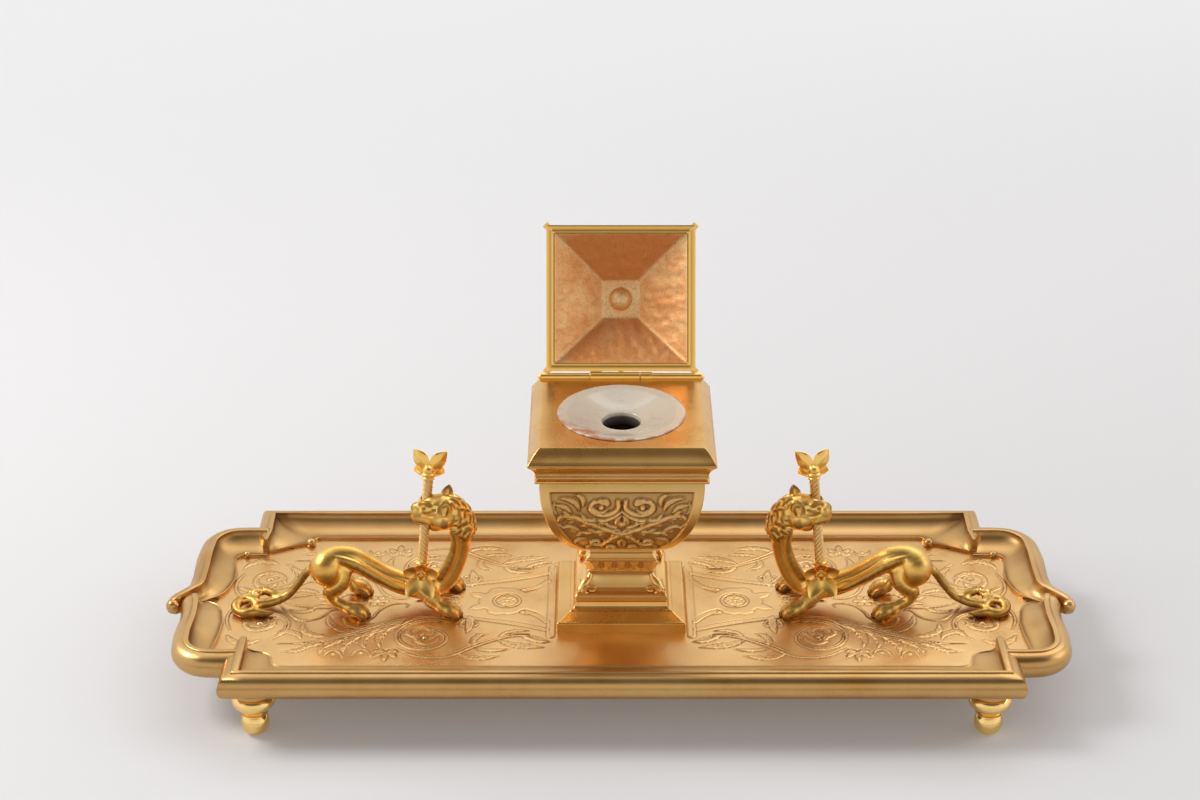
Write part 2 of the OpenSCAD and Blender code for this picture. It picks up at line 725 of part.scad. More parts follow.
module ball_at(t, y, h, r) {
    translate(at_beast(t, y, h)) sphere(r = r * grow_r, $fn = 8);
}

module beast_form() {
    // Trunk, neck and head in one line
    limb([[56, -4.5, 17.5, 3.2], [52.5, -4, 20, 5.6], [44, -3, 20.6, 5.4], [37, -2.5, 16.9, 4.5],
        [30.5, -2.2, 12.6, 4.5], [24, -2, 9.6, 4.8], [16, -2, 8.4, 5.2], [8.5, -1.2, 10.6, 5],
        [3, -0.4, 17.5, 4.4], [0.8, -0.2, 26, 4.3], [0.8, -0.6, 33.5, 4.8], [5, -1.6, 39, 6],
        [11, -2.6, 40.6, 5.6], [16, -3.4, 40.2, 4.2], [19.6, -3.8, 40, 3.2]], 10);
    // Hind legs, the near one with its haunch
    limb([[49, -4, 20, 4], [53.4, -7.4, 17.6, 6.2], [50.5, -9, 13, 4.4], [53.2, -8.6, 8.6, 2.6],
        [48, -9.8, 4.6, 2], [40, -11.2, 2.4, 2]]);
    limb([[49, 0, 18, 4.4], [50.5, 4, 12.6, 3.6], [46.5, 5.6, 7, 2.3], [40, 6, 2.6, 2]]);
    // Front legs
    limb([[16, -5, 9, 4], [13, -8.4, 6.6, 3.2], [9, -10.2, 3.8, 2.3], [4.5, -10.8, 2.4, 2]]);
    limb([[13, 2, 9.4, 4], [11, 6.6, 6.6, 3.1], [6.6, 9.4, 3.8, 2.2], [3, 10.2, 2.4, 2]]);
    // Tail, ending in two scrolls
    limb([[54, -4, 18.4, 2.4], [59.8, -3.4, 15.6, 1.8], [64.2, -3.4, 9.6, 1.6], [69, -4, 4.6, 1.7],
        [74.5, -5.4, 2.6, 1.9], [79.5, -7.6, 2.4, 1.8]]);
    limb([[73, -4.8, 3, 1.5], [78.5, -1.6, 2.8, 1.7], [82, 1.2, 2.6, 2.2]]);
    translate(at_beast(84.2, -8.2, 3.2)) rotate([-18, 0, 0]) rotate_extrude($fn = 14)
        translate([3.9 * grow_r, 0]) circle(r = 1.9 * grow_r, $fn = 6);
    for (p = paws) paw(p.x, p.y);
    // Ears, brow, nose and lower jaw
    for (s = [-1, 1]) hull() {
        translate(at_beast(7, 3.4 * s - 1.8, 43.8)) sphere(r = 1.9 * grow_r, $fn = 8);
        translate(at_beast(5.6, 4.2 * s - 1.8, 49.6)) sphere(r = 0.9 * grow_r, $fn = 8);
    }
    ball_at(19.6, -3.8, 41.2, 2.4);
    ball_at(12.6, -5.6, 44.2, 1.6);
    ball_at(12.6, 0.2, 44.2, 1.6);
    ball_at(11.4, -2.6, 35.6, 2.8);
    ball_at(49, -4.6, 14.6, 4.4);
}

module beast() {
    difference() {
        beast_form();
        translate([0, 0, floor_z - 20]) linear_extrude(20) square(2 * lobe_x, center = true);
        on_rod() translate([0, 0, -2]) cylinder(d = rod_d + 0.3, h = rod_l + 4, $fn = 12);
        for (p = screw_points()) translate([p.x, p.y, floor_z - 1])
            cylinder(d = screw_d + 2 * hole_gap, h = screw_grip + 1.2, $fn = 8);
    }
}

// Bottom end of the rod, in front of the shoulder
function rod_foot() = at_beast(16.4, -8, 17);
rod_tilt = [-asin(rod_lean.y / rod_l), -asin(rod_lean.x / rod_l)];

module on_rod() {
    translate(rod_foot()) rotate([rod_tilt.x, rod_tilt.y, 0]) children();
}

module rod() {
    lobe = rod_d * 0.06;
    on_rod() linear_extrude(rod_l, twist = -360 * rod_turns, slices = 8 * rod_turns, $fn = 12)
        polygon([for (a = [0 : 30 : 330]) (rod_d / 2 - lobe + lobe * cos(3 * a)) * [cos(a), sin(a)]]);
}

// Flower that opens along +Z from the origin: a cup whose rim is notched between its petals
function petal_reach(a, notch) = 1 - notch * (1 - abs(cos(petals * a / 2)) ^ 0.7);
module flower() {
    r = flower_d / 2;
    deep = flower_d / 14;
    cup = [[0.2, 0.4, 0], [0.3, 1.4, 0.1], [0.42, 2.8, 0.4], [0.7, 4.8, 0.6], [0.96, 5.6, 0.7],
        [1, 6.2, 0.7], [0.68, 5.5, 0.6], [0.34, 3.8, 0.3], [0.22, 3, 0.1]];
    sides = 6 * petals;
    skin([for (c = cup) [for (k = [0 : sides - 1])
        let (a = 360 * k / sides, reach = r * c[0] * petal_reach(a, c[2]))
        [reach * cos(a), reach * sin(a), c[1] * deep]]]);
    translate([0, 0, 1.3 * deep]) sphere(d = rod_d * 1.35, $fn = 12);
}

// Each flower takes the end of the rod in a socket
socket_l = flower_d * 0.64;
module socket(z) {
    translate([0, 0, z]) cylinder(d = rod_d / cos(15) + 0.1, h = socket_l, $fn = 12);
}

module top_flower() {
    on_rod() difference() {
        translate([0, 0, rod_l]) rotate([-40, 0, 0]) translate([0, 0, -flower_d * 0.057]) flower();
        socket(rod_l - socket_l);
    }
}

module lower_flower() {
    on_rod() difference() {
        rotate([125, 0, 0]) translate([0, 0, -flower_d * 0.057]) flower();
        socket(0);
    }
}

screw_grip = 3;
screw_head = 1.4;

module beast_screws() {
    for (p = screw_points()) translate([p.x, p.y, 0]) {
        translate([0, 0, plate_z]) cylinder(d = screw_d, h = floor_t + screw_grip);
        translate([0, 0, plate_z - screw_head]) cylinder(d = 1.9 * screw_d, h = screw_head);
    }
}

module right_side(metal) {
    color(metal) children();
}

module left_side(metal) {
    color(metal) mirror([1, 0, 0]) children();
}

tray();
foot_at(-1, -1);  // foot_front_left
foot_at(1, -1);  // foot_front_right
foot_at(-1, 1);  // foot_back_left
foot_at(1, 1);  // foot_back_right
pedestal_base();
pedestal_neck();
bead_collar();
well_bowl();
well_cornice();
ink_cup();
hinge_bar();
hinge_pin();
lid();
lid_finial();
finial_nut();
lid_corner_studs();
centre_bolt();
centre_washer();
centre_nut();
left_side(gilt) beast();  // beast_left
right_side(gilt) beast();  // beast_right
left_side(gilt_bright) rod();  // rod_left
right_side(gilt_bright) rod();  // rod_right
left_side(gilt_bright) top_flower();  // top_flower_left
right_side(gilt_bright) top_flower();  // top_flower_right
left_side(gilt_bright) lower_flower();  // lower_flower_left
right_side(gilt_bright) lower_flower();  // lower_flower_right
left_side(steel) beast_screws();  // beast_screws_left
right_side(steel) beast_screws();  // beast_screws_right
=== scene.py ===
import math
import bmesh
import bpy
import numpy as np
from mathutils import Matrix, Vector


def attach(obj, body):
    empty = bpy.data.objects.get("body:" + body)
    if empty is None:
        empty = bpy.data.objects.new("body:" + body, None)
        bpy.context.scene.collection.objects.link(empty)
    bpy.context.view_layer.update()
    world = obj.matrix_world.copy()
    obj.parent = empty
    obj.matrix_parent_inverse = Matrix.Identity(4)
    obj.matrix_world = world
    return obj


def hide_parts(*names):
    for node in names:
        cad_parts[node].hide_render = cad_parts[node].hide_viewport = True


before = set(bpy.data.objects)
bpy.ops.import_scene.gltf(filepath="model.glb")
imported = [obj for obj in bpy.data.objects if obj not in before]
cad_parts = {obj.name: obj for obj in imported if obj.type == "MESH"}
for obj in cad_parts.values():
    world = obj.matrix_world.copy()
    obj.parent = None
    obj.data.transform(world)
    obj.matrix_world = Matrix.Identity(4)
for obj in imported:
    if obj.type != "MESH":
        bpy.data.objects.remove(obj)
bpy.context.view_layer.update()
print("frame loaded,", len(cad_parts), "nodes")


class Wire:  # a socket that does sums, and adds the nodes it needs
    def __init__(self, tree, socket=None):
        self.tree = tree
        self.socket = socket

    def node(self, kind, settings=None, sockets=None, output=0):
        made = self.tree.nodes.new(kind)
        for name, value in (settings or {}).items():
            setattr(made, name, value)
        for name, value in (sockets or {}).items():
            if isinstance(value, Wire):
                self.tree.links.new(value.socket, made.inputs[name])
            elif made.inputs[name].type == "RGBA":
                made.inputs[name].default_value = (*value[:3], 1.0)
            else:
                made.inputs[name].default_value = value
        return Wire(self.tree, made.outputs[output]) if len(made.outputs) else None

    def beside(self, name):  # another output of the node this wire comes from
        return Wire(self.tree, self.socket.node.outputs[name])

    def sum(self, operation, *values):
        return self.node("ShaderNodeMath", {"operation": operation}, dict(enumerate(values)))

    def limited(self, low=0.0, high=1.0):
        return self.sum("MINIMUM", self.sum("MAXIMUM", self, low), high)

    def __add__(self, other):
        return self.sum("ADD", self, other)

    __radd__ = __add__

    def __sub__(self, other):
        return self.sum("SUBTRACT", self, other)

    def __rsub__(self, other):
        return self.sum("SUBTRACT", other, self)

    def __mul__(self, other):
        return self.sum("MULTIPLY", self, other)

    __rmul__ = __mul__

    def __truediv__(self, other):
        return self.sum("DIVIDE", self, other)

    def __pow__(self, other):
        return self.sum("POWER", self, other)


# Materials

bumpDistance = 0.0004
# the dark brown is for dirt specks and for painted shade in hollows
gilding = {"pale": (0.82, 0.54, 0.25), "deep": (0.52, 0.25, 0.06), "shadeAndDirtColour": (0.17, 0.07, 0.018)}


def newMaterial(name):
    material = bpy.data.materials.new(name)
    material.use_nodes = True
    tree = material.node_tree
    tree.nodes.clear()
    start = Wire(tree)
    place = start.node("ShaderNodeTexCoord", output="Object")
    return material, start, place


def closeMaterial(start, sockets):
    shader = start.node("ShaderNodeBsdfPrincipled", {}, sockets)
    start.node("ShaderNodeOutputMaterial", {}, {"Surface": shader})


def blend(start, share, first, second):
    settings = {"data_type": "RGBA", "clamp_factor": True}
    return start.node("ShaderNodeMix", settings, {0: share, 6: first, 7: second}, 2)


def noiseAt(start, place, scale, detail=4.0, rough=0.55):
    sockets = {"Vector": place, "Scale": scale, "Detail": detail, "Roughness": rough}
    return start.node("ShaderNodeTexNoise", {}, sockets)


def markAt(start, name):
    return start.node("ShaderNodeAttribute", {"attribute_name": name}, output="Fac")


def bumpOf(start, height, strength):
    return start.node("ShaderNodeBump", {}, {"Height": height, "Strength": strength, "Distance": bumpDistance})


# Gilt bronze: gold that turns pale where it is worn, with brown dirt specks, painted shade darkening its hollows and
# creases, and fine brushing
def gildedMaterial(name, look):
    material, start, place = newMaterial(name)
    broad = noiseAt(start, place, look["patch"], 5.0)
    fine = noiseAt(start, place, look["grain"], 3.0, 0.65)
    pits = start.node("ShaderNodeTexVoronoi", {}, {"Vector": place, "Scale": look["pits"]})
    hollow = markAt(start, "hollow")
    wornShare = ((broad - 0.5) * 3.0 * look["uneven"] + 0.35).limited()
    # painted shade: the hollow mark darkens creases and recesses towards the dark brown; the specks from fine noise
    # are dirt
    shadeAndDirtShare = (hollow * look["hollowShade"] + (fine - 0.56).limited() * look["specks"]).limited(0.0, 0.92)
    colour = blend(start, wornShare, look["gold"], look["pale"])
    colour = blend(start, ((0.47 - broad) * 4.0 * look["uneven"]).limited(), colour, look["deep"])
    colour = blend(start, shadeAndDirtShare, colour, look["shadeAndDirtColour"])
    rough = (look["rough"] + (broad - 0.5) * look["roughSwing"] + shadeAndDirtShare * 0.28).limited(0.05, 0.9)
    bump = bumpOf(start, fine * look["grainHeight"] + pits * look["pitHeight"], look["bump"])
    closeMaterial(start, {"Base Color": colour, "Metallic": 1.0, "Roughness": rough, "Normal": bump})
    return material


satinLook = dict(gilding, patch=38.0, grain=1700.0, pits=2600.0, uneven=0.55, hollowShade=0.7, specks=0.9,
                 rough=0.40, roughSwing=0.16, grainHeight=0.5, pitHeight=0.4, bump=0.18)
burnishedLook = dict(gilding, gold=(1.0, 0.585, 0.115), pale=(1.0, 0.70, 0.25), deep=(0.84, 0.39, 0.05), patch=30.0,
                     grain=700.0, pits=900.0, uneven=0.4, hollowShade=0.7, specks=0.3, rough=0.28, roughSwing=0.12,
                     grainHeight=0.5, pitHeight=0.2, bump=0.10)
plateLook = dict(burnishedLook, gold=(0.75, 0.415, 0.112), pale=(0.88, 0.56, 0.21), deep=(0.62, 0.27, 0.05),
                 roughSwing=0.14, grain=1300.0, bump=0.05, patch=46.0)
bowlLook = dict(burnishedLook, gold=(0.86, 0.51, 0.15), pale=(0.93, 0.64, 0.28), deep=(0.66, 0.32, 0.06), rough=0.32,
                hollowShade=0.9, patch=44.0)
footLook = dict(burnishedLook, gold=(0.96, 0.66, 0.25), rough=0.13, roughSwing=0.06, specks=0.15, bump=0.03)
floorLook = dict(satinLook, gold=(0.74, 0.435, 0.16), rough=0.29, roughSwing=0.14, hollowShade=0.95, bump=0.14)
# painted shade: a darker copy of the satin gilding of the tray floor, so the rims look shaded
rimShadedLook = dict(satinLook, gold=(0.56, 0.325, 0.11), pale=(0.68, 0.44, 0.185), rough=0.31, bump=0.06, hollowShade=0.75)
ropeLook = dict(satinLook, gold=(0.88, 0.57, 0.21), pale=(0.93, 0.67, 0.32), rough=0.42, hollowShade=0.6, patch=90.0)

burnishedGilding = gildedMaterial("burnishedGilding", burnishedLook)
plateGilding = gildedMaterial("plateGilding", plateLook)
ropeGilding = gildedMaterial("ropeGilding", ropeLook)
bowlGilding = gildedMaterial("bowlGilding", bowlLook)
footGilding = gildedMaterial("footGilding", footLook)
floorGilding = gildedMaterial("floorGilding", floorLook)
rimShadedGilding = gildedMaterial("rimShadedGilding", rimShadedLook)


# Inside of the lid: rough cast faces, stained reddish brown between lighter ridges; the brown also carries painted
# shade, stronger on some faces than on others
hammeredLook = {"gold": (0.94, 0.64, 0.31), "stain": (0.84, 0.39, 0.14), "dark": (0.42, 0.17, 0.06), "patch": 60.0,
                "grain": 1500.0, "rough": 0.5}


def hammeredMaterial(name, look):
    material, start, place = newMaterial(name)
    broad = noiseAt(start, place, look["patch"], 6.0, 0.62)
    fine = noiseAt(start, place, look["grain"], 5.0, 0.7)
    stain = markAt(start, "stain")
    # the stain mark holds real stain and painted shade from the lid's hollow
    share = (stain * 1.1 + (broad - 0.5) * 2.2).limited()
    colour = blend(start, share, look["gold"], look["stain"])
    colour = blend(start, ((fine - 0.5) * 5.0).limited() * (0.75 - stain * 0.45), colour, look["dark"])
    colour = blend(start, ((0.44 - broad) * 5.0).limited(0.0, 0.5), colour, look["gold"])
    rough = (look["rough"] + share * 0.1 + (fine - 0.5) * 0.25).limited(0.1, 0.9)
    bump = bumpOf(start, fine * 0.8 + broad, 0.5)
    closeMaterial(start, {"Base Color": colour, "Metallic": 1.0, "Roughness": rough, "Normal": bump})
    return material


hammeredHollow = hammeredMaterial("hammeredHollow", hammeredLook)


# Cream glaze with ink and rust stains round one side of the funnel
glazeLook = {"cream": (0.62, 0.545, 0.425), "grey": (0.50, 0.455, 0.385), "rust": (0.40, 0.135, 0.045),
             "ink": (0.035, 0.026, 0.022), "patch": 60.0, "rough": 0.27}


def glazeMaterial(name, look):
    material, start, place = newMaterial(name)
    broad = noiseAt(start, place, look["patch"], 6.0, 0.6)
    streak = noiseAt(start, place, 210.0, 4.0, 0.6)
    stain = markAt(start, "stain")
    ink = markAt(start, "ink")
    rust = (stain * ((streak - 0.42) * 6.0).limited() * 1.3).limited(0.0, 0.9)
    colour = blend(start, ((broad - 0.42) * 2.4).limited(), look["cream"], look["grey"])
    colour = blend(start, rust, colour, look["rust"])
    colour = blend(start, ((streak - 0.60) * 3.0).limited(0.0, 0.2), colour, look["rust"])
    colour = blend(start, ink, colour, look["ink"])
    rough = (look["rough"] + rust * 0.35 + (broad - 0.5) * 0.1).limited(0.05, 0.8)
    bump = bumpOf(start, broad, 0.12)
    coat = {"Coat Weight": 0.5, "Coat Roughness": 0.06}
    closeMaterial(start, {"Base Color": colour, "Roughness": rough, "Normal": bump, **coat})
    return material


creamGlaze = glazeMaterial("creamGlaze", glazeLook)

steelLook = dict(gold=(0.50, 0.48, 0.45), pale=(0.60, 0.58, 0.55), deep=(0.34, 0.30, 0.26), shadeAndDirtColour=(0.12, 0.08, 0.05),
                 patch=120.0, grain=900.0, pits=1200.0, uneven=0.5, hollowShade=0.6, specks=1.0, rough=0.36, roughSwing=0.2,
                 grainHeight=0.6, pitHeight=0.3, bump=0.3)
dullSteel = gildedMaterial("dullSteel", steelLook)
print("materials made")


# Mesh helpers, all in millimetres

def shift(x=0.0, y=0.0, z=0.0):
    return Matrix.Translation((x * 0.001, y * 0.001, z * 0.001))


def between(a, b, share):
    return a + (b - a) * share


# Rows of a rounded outline: radius and height, from one angle to another
def arcRows(radius, level, angles, tall=None, power=1.0):
    tall = radius if tall is None else tall
    return [(radius * math.cos(a) ** power, level + tall * math.sin(a)) for a in np.radians(angles)]


def valuesOf(mesh, name):
    values = np.empty(len(mesh.vertices) * 3, np.float32)
    mesh.vertices.foreach_get(name, values)
    return values.reshape(-1, 3)


def markMesh(mesh, label, values):
    layer = mesh.attributes.get(label) or mesh.attributes.new(label, "FLOAT", "POINT")
    layer.data.foreach_set("value", np.asarray(values, np.float32))


def makeMesh(name, points, faces, crease=40.0, spread=None, outward=False):
    mesh = bpy.data.meshes.new(name)
    mesh.from_pydata((np.asarray(points, float) * 0.001).tolist(), [], [list(map(int, f)) for f in faces])
    for label, values in (spread or {}).items():
        markMesh(mesh, label, values)
    mesh.validate()
    if outward:
        turned = bmesh.new()
        turned.from_mesh(mesh)
        bmesh.ops.recalc_face_normals(turned, faces=turned.faces)
        turned.to_mesh(mesh)
        turned.free()
    smoothMesh(mesh, crease)
    return mesh


def smoothMesh(mesh, crease):
    mesh.polygons.foreach_set("use_smooth", [True] * len(mesh.polygons))
    mesh.set_sharp_from_angle(angle=math.radians(crease))
    mesh.update()


def joinMeshes(name, meshes, crease=40.0):
    grown = bmesh.new()
    for mesh in meshes:
        grown.from_mesh(mesh)
    joined = bpy.data.meshes.new(name)
    grown.to_mesh(joined)
    grown.free()
    smoothMesh(joined, crease)
    return joined


def makePiece(name, mesh, body, material, stands=()):
    piece = bpy.data.objects.new(name, mesh)
    bpy.context.scene.collection.objects.link(piece)
    if material is not None:
        mesh.materials.clear()
        mesh.materials.append(material)
    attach(piece, body)
    if stands:
        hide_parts(*stands)
    return piece


def gridFaces(rows, columns, closed=True, flip=False):
    faces = []
    last = columns if closed else columns - 1
    for i in range(rows - 1):
        for k in range(last):
            a, b = i * columns + k, i * columns + (k + 1) % columns
            c, d = b + columns, a + columns
            faces.append((a, d, c, b) if flip else (a, b, c, d))
    return faces


# Faces of a tube of rings, with both of its ends closed
def tubeFaces(rows, columns):
    return gridFaces(rows, columns) + [tuple(range(columns)), tuple((rows - 1) * columns + k for k in range(columns))]


# Smooth curve through rows of numbers, with steps stretches between two rows
def smoothRows(rows, steps):
    rows = np.asarray(rows, float)
    gaps = np.linalg.norm(np.diff(rows, axis=0), axis=1)[:, None] + 1e-9
    slope = np.diff(rows, axis=0) / gaps
    speed = np.empty_like(rows)
    speed[1:-1] = (slope[:-1] * gaps[1:] + slope[1:] * gaps[:-1]) / (gaps[1:] + gaps[:-1])
    speed[0], speed[-1] = slope[0], slope[-1]
    t = np.arange(steps)[:, None] / steps
    first, leave, last, arrive = 2 * t**3 - 3 * t**2 + 1, t**3 - 2 * t**2 + t, 3 * t**2 - 2 * t**3, t**3 - t**2
    out = []
    for i in range(len(rows) - 1):
        a, b, run = rows[i], rows[i + 1], gaps[i]
        out.append(first * a + leave * run * speed[i] + last * b + arrive * run * speed[i + 1])
    out.append(rows[-1:])
    return np.vstack(out)


# Path with its corners rounded: each corner becomes an arc with a support point on each side
def roundedPath(points, radius, steps=3, closed=False, support=0.35):
    points = [np.asarray(p, float) for p in points]
    count = len(points)
    out = []
    for i, point in enumerate(points):
        if not closed and i in (0, count - 1):
            out.append(point)
            continue
        before, after = points[i - 1] - point, points[(i + 1) % count] - point
        lengths = np.linalg.norm(before), np.linalg.norm(after)
        toBefore, toAfter = before / lengths[0], after / lengths[1]
        bend = math.pi - math.acos(max(-1.0, min(1.0, float(toBefore @ toAfter))))
        if bend < 0.2:
            out.append(point)
            continue
        reach = min(radius * math.tan(bend / 2), 0.4 * lengths[0], 0.4 * lengths[1])
        extra = min(support, 0.4 * (min(lengths) * 0.5 - reach) + 1e-6)
        out.append(point + toBefore * (reach + extra))
        for s in range(steps + 1):
            t = s / steps
            out.append((1 - t) ** 2 * (point + toBefore * reach) + 2 * t * (1 - t) * point
                       + t * t * (point + toAfter * reach))
        out.append(point + toAfter * (reach + extra))
    return np.array(out)


# Hollowness of each point against its neighbours, 0 on flats and 1 in deep creases; the gilt materials paint shade
# into it
def markHollows(mesh, depth=0.12, rounds=3):
    count = len(mesh.vertices)
    places, normals = valuesOf(mesh, "co") * 1000.0, valuesOf(mesh, "normal")
    edges = np.empty(len(mesh.edges) * 2, np.int32)
    mesh.edges.foreach_get("vertices", edges)
    a, b = edges.reshape(-1, 2).T
    degree = np.maximum(np.bincount(a, minlength=count) + np.bincount(b, minlength=count), 1)

    def around(values):
        sums = [np.bincount(a, column[b], count) + np.bincount(b, column[a], count) for column in values.T]
        return np.stack(sums, 1) / degree[:, None]

    wide = places
    for _ in range(rounds):
        wide = around(wide)
    rise = ((wide - places) * normals).sum(1)[:, None]
    rise = (rise + around(rise)) / 2
    markMesh(mesh, "hollow", np.clip(rise[:, 0] / depth, 0, 1))
    return mesh


# Geometry Nodes helpers

def newTree(name, inputs):
    tree = bpy.data.node_groups.new(name, "GeometryNodeTree")
    tree.interface.new_socket(name="Geometry", in_out="OUTPUT", socket_type="NodeSocketGeometry")
    for label, value in inputs.items():
        kind = {int: "Int", float: "Float"}.get(type(value), "Material")
        tree.interface.new_socket(name=label, in_out="INPUT", socket_type="NodeSocket" + kind)
    source = tree.nodes.new("NodeGroupInput")
    return {label: Wire(tree, source.outputs[label]) for label in inputs} | {"start": Wire(tree)}


def closeTree(wires, shape, material):
    start = wires["start"]
    shape = start.node("GeometryNodeRealizeInstances", {}, {"Geometry": shape})
    shape = start.node("GeometryNodeSetMaterial", {}, {"Geometry": shape, "Material": material})
    start.node("NodeGroupOutput", {}, {"Geometry": shape})


def growMesh(name, wires, values, crease=40.0):
    tree = wires["start"].tree
    host = bpy.data.objects.new(name, bpy.data.meshes.new(name + "Seed"))
    bpy.context.scene.collection.objects.link(host)
    modifier = host.modifiers.new(name, "NODES")
    modifier.node_group = tree
    for item in tree.interface.items_tree:
        if item.in_out == "INPUT":
            modifier[item.identifier] = values[item.name]
    graph = bpy.context.evaluated_depsgraph_get()
    mesh = bpy.data.meshes.new_from_object(host.evaluated_get(graph), depsgraph=graph)
    host.modifiers.clear()
    bpy.data.objects.remove(host)
    mesh.name = name
    smoothMesh(mesh, crease)
    return mesh


def turnMesh(mesh, matrix):
    mesh.transform(matrix)
    if matrix.determinant() < 0:
        mesh.flip_normals()
    return mesh


def mirrored(mesh, name):
    copy = mesh.copy()
    copy.name = name
    return turnMesh(copy, Matrix.Scale(-1, 4, (1, 0, 0)))


# Solids of revolution and square mouldings

def latheMesh(name, profile, radius=0.25, around=96, crease=40.0):
    path = roundedPath(profile, radius, 4)
    turns = np.arange(around) * 2 * math.pi / around
    points = [(r * math.cos(a), r * math.sin(a), z) for r, z in path for a in turns]
    faces = gridFaces(len(path), around)
    first, last = len(points), len(points) + 1
    points += [(0, 0, path[0][1]), (0, 0, path[-1][1])]
    base = (len(path) - 1) * around
    faces += [(first, (k + 1) % around, k) for k in range(around)]
    faces += [(last, base + k, base + (k + 1) % around) for k in range(around)]
    return makeMesh(name, points, faces, crease)


# Square moulding: profile rows are (half width, height); rise(across, row) pushes a point outwards
def squareMesh(name, profile, corner=0.35, radius=0.3, across=8, crease=50.0, rise=None, caps=True, marks=None):
    path = roundedPath(profile, radius, 3) if radius else np.asarray(profile, float)
    slope = np.gradient(path, axis=0)
    slope /= np.maximum(np.linalg.norm(slope, axis=1), 1e-9)[:, None]
    points, hollow = [], []
    shares = np.linspace(-1, 1, across + 1)
    for row, (half, z) in enumerate(path):
        cut = min(corner, half * 0.4)
        outNormal = np.array([slope[row][1], -slope[row][0]])
        for side in range(4):
            c, s = math.cos(side * math.pi / 2), math.sin(side * math.pi / 2)
            for u in (half - cut) * shares:
                push = rise(u, row) if rise else 0.0
                hollow.append(marks[-1] if marks else 0.0)
                x, y, up = u, -(half + push * outNormal[0]), z + push * outNormal[1]
                points.append((x * c - y * s, x * s + y * c, up))
            for t in (0.3, 0.7):
                a = -math.pi / 2 + t * math.pi / 2
                x, y = half - cut + cut * math.cos(a), -(half - cut) + cut * math.sin(a)
                points.append((x * c - y * s, x * s + y * c, z))
                hollow.append(0.0)
    ring = 4 * (across + 3)
    faces = tubeFaces(len(path), ring) if caps else gridFaces(len(path), ring)
    if caps:
        faces[-2] = faces[-2][::-1]
    return makeMesh(name, points, faces, crease, {"hollow": hollow} if marks else None)


# Tray and feet

foot = {"x": 135.0, "y": 57.0, "height": 18.2, "bun": 16.1, "ball": 10.6, "pad": 2.6}
tray = {
    "mainX": 141.0, "mainY": 61.0, "lobeX": 162.0, "lobeY": 46.5, "lobeTurn": 10.0, "earTip": 174.6, "bulge": 5.8,
    "fillet": 2.0, "under": 18.2, "top": 28.6, "floor": 22.2, "ridge": 23.2, "quirk": 0.6, "coveSide": 11.5,
    "coveEnd": 9.0, "lip": 0.35,
}
# Balls on the right half of the tray are place, radius and facets; the bar ends the front rim, the pads are over the
# feet and the plate is under the carved floor
trayEnds = {
    "balls": [(124.4, 44.6, 23.2, 2.0, 20), (149, 35, 23.2, 1.5, 20), (171.9, -7.2, 24.3, 2.6, 32)],
    "bar": (140.6, -49.2), "barSize": (1.5, 12.9, 1.4),
    "barRows": [(0, 21.5), (0, 27.9), (0.12, 28.35), (0.4, 28.62), (0.8, 28.7)],
    "pad": [(8.0, 17.9), (8.0, 18.3), (8.4, 20.6)], "plateLevels": (19.2, 21.9),
    "plate": [(133, -55), (133, -43), (153.6, -43), (157, -8), (157, 8), (155, 37), (133, 40), (133, 55)],
}


# Section of the rim between its outer point, its fillet and its ridge; share is how much of its height it has
def rimSection(outer, fillet, ridge, share):
    middle = tray["under"] + 5.2
    top, low = middle + (tray["top"] - middle) * share, middle + (tray["under"] - middle) * share
    centre, half = (top - tray["quirk"] + low) / 2, (top - tray["quirk"] - low) / 2
    edge = tray["fillet"] / 2 / tray["bulge"]
    run = np.linalg.norm(ridge - fillet)
    inner = min(tray["fillet"] / 2 / run, 0.45)
    toe = ridge + (ridge - fillet) / run * 0.5
    floor, step = tray["floor"] - 0.8, tray["ridge"]
    rows = []

    def add(towards, amount, z, origin=fillet):
        rows.append((*(origin + (towards - origin) * amount), z))

    add(outer, edge * 0.45, top)
    add(outer, edge * 0.8, top - 0.03)
    add(outer, edge * 0.95, top - 0.16)
    add(outer, edge, top - tray["quirk"] * 0.8)
    for angle in range(84, -91, -8):
        turn = math.radians(angle)
        add(outer, edge + (1 - edge) * math.cos(turn) ** 0.92, centre + half * math.sin(turn))
    add(outer, 0.0, low)
    add(ridge, 0.7, min(low + 1.4, floor))
    add(toe, 1.0, floor)
    add(toe, 1.0, step - 0.1)
    add(toe, 0.9, step + tray["lip"] * 0.8, ridge)
    add(toe, 0.45, step + tray["lip"], ridge)
    add(toe, 0.0, step + tray["lip"] * 0.7, ridge)
    for angle in range(3, 88, 7):
        turn = math.radians(angle)
        add(ridge, 1 + (inner - 1) * math.sin(turn), step + (top - tray["quirk"] - step) * (1 - math.cos(turn)))
    add(ridge, inner, top - tray["quirk"])
    add(ridge, inner * 0.96, top - 0.14)
    add(ridge, inner * 0.8, top - 0.02)
    add(ridge, inner * 0.4, top)
    return rows


def sweepRim(stations):
    rows = [rimSection(s[0:2], s[2:4], s[4:6], s[6]) for s in stations]
    return [p for row in rows for p in row], tubeFaces(len(rows), len(rows[0]))


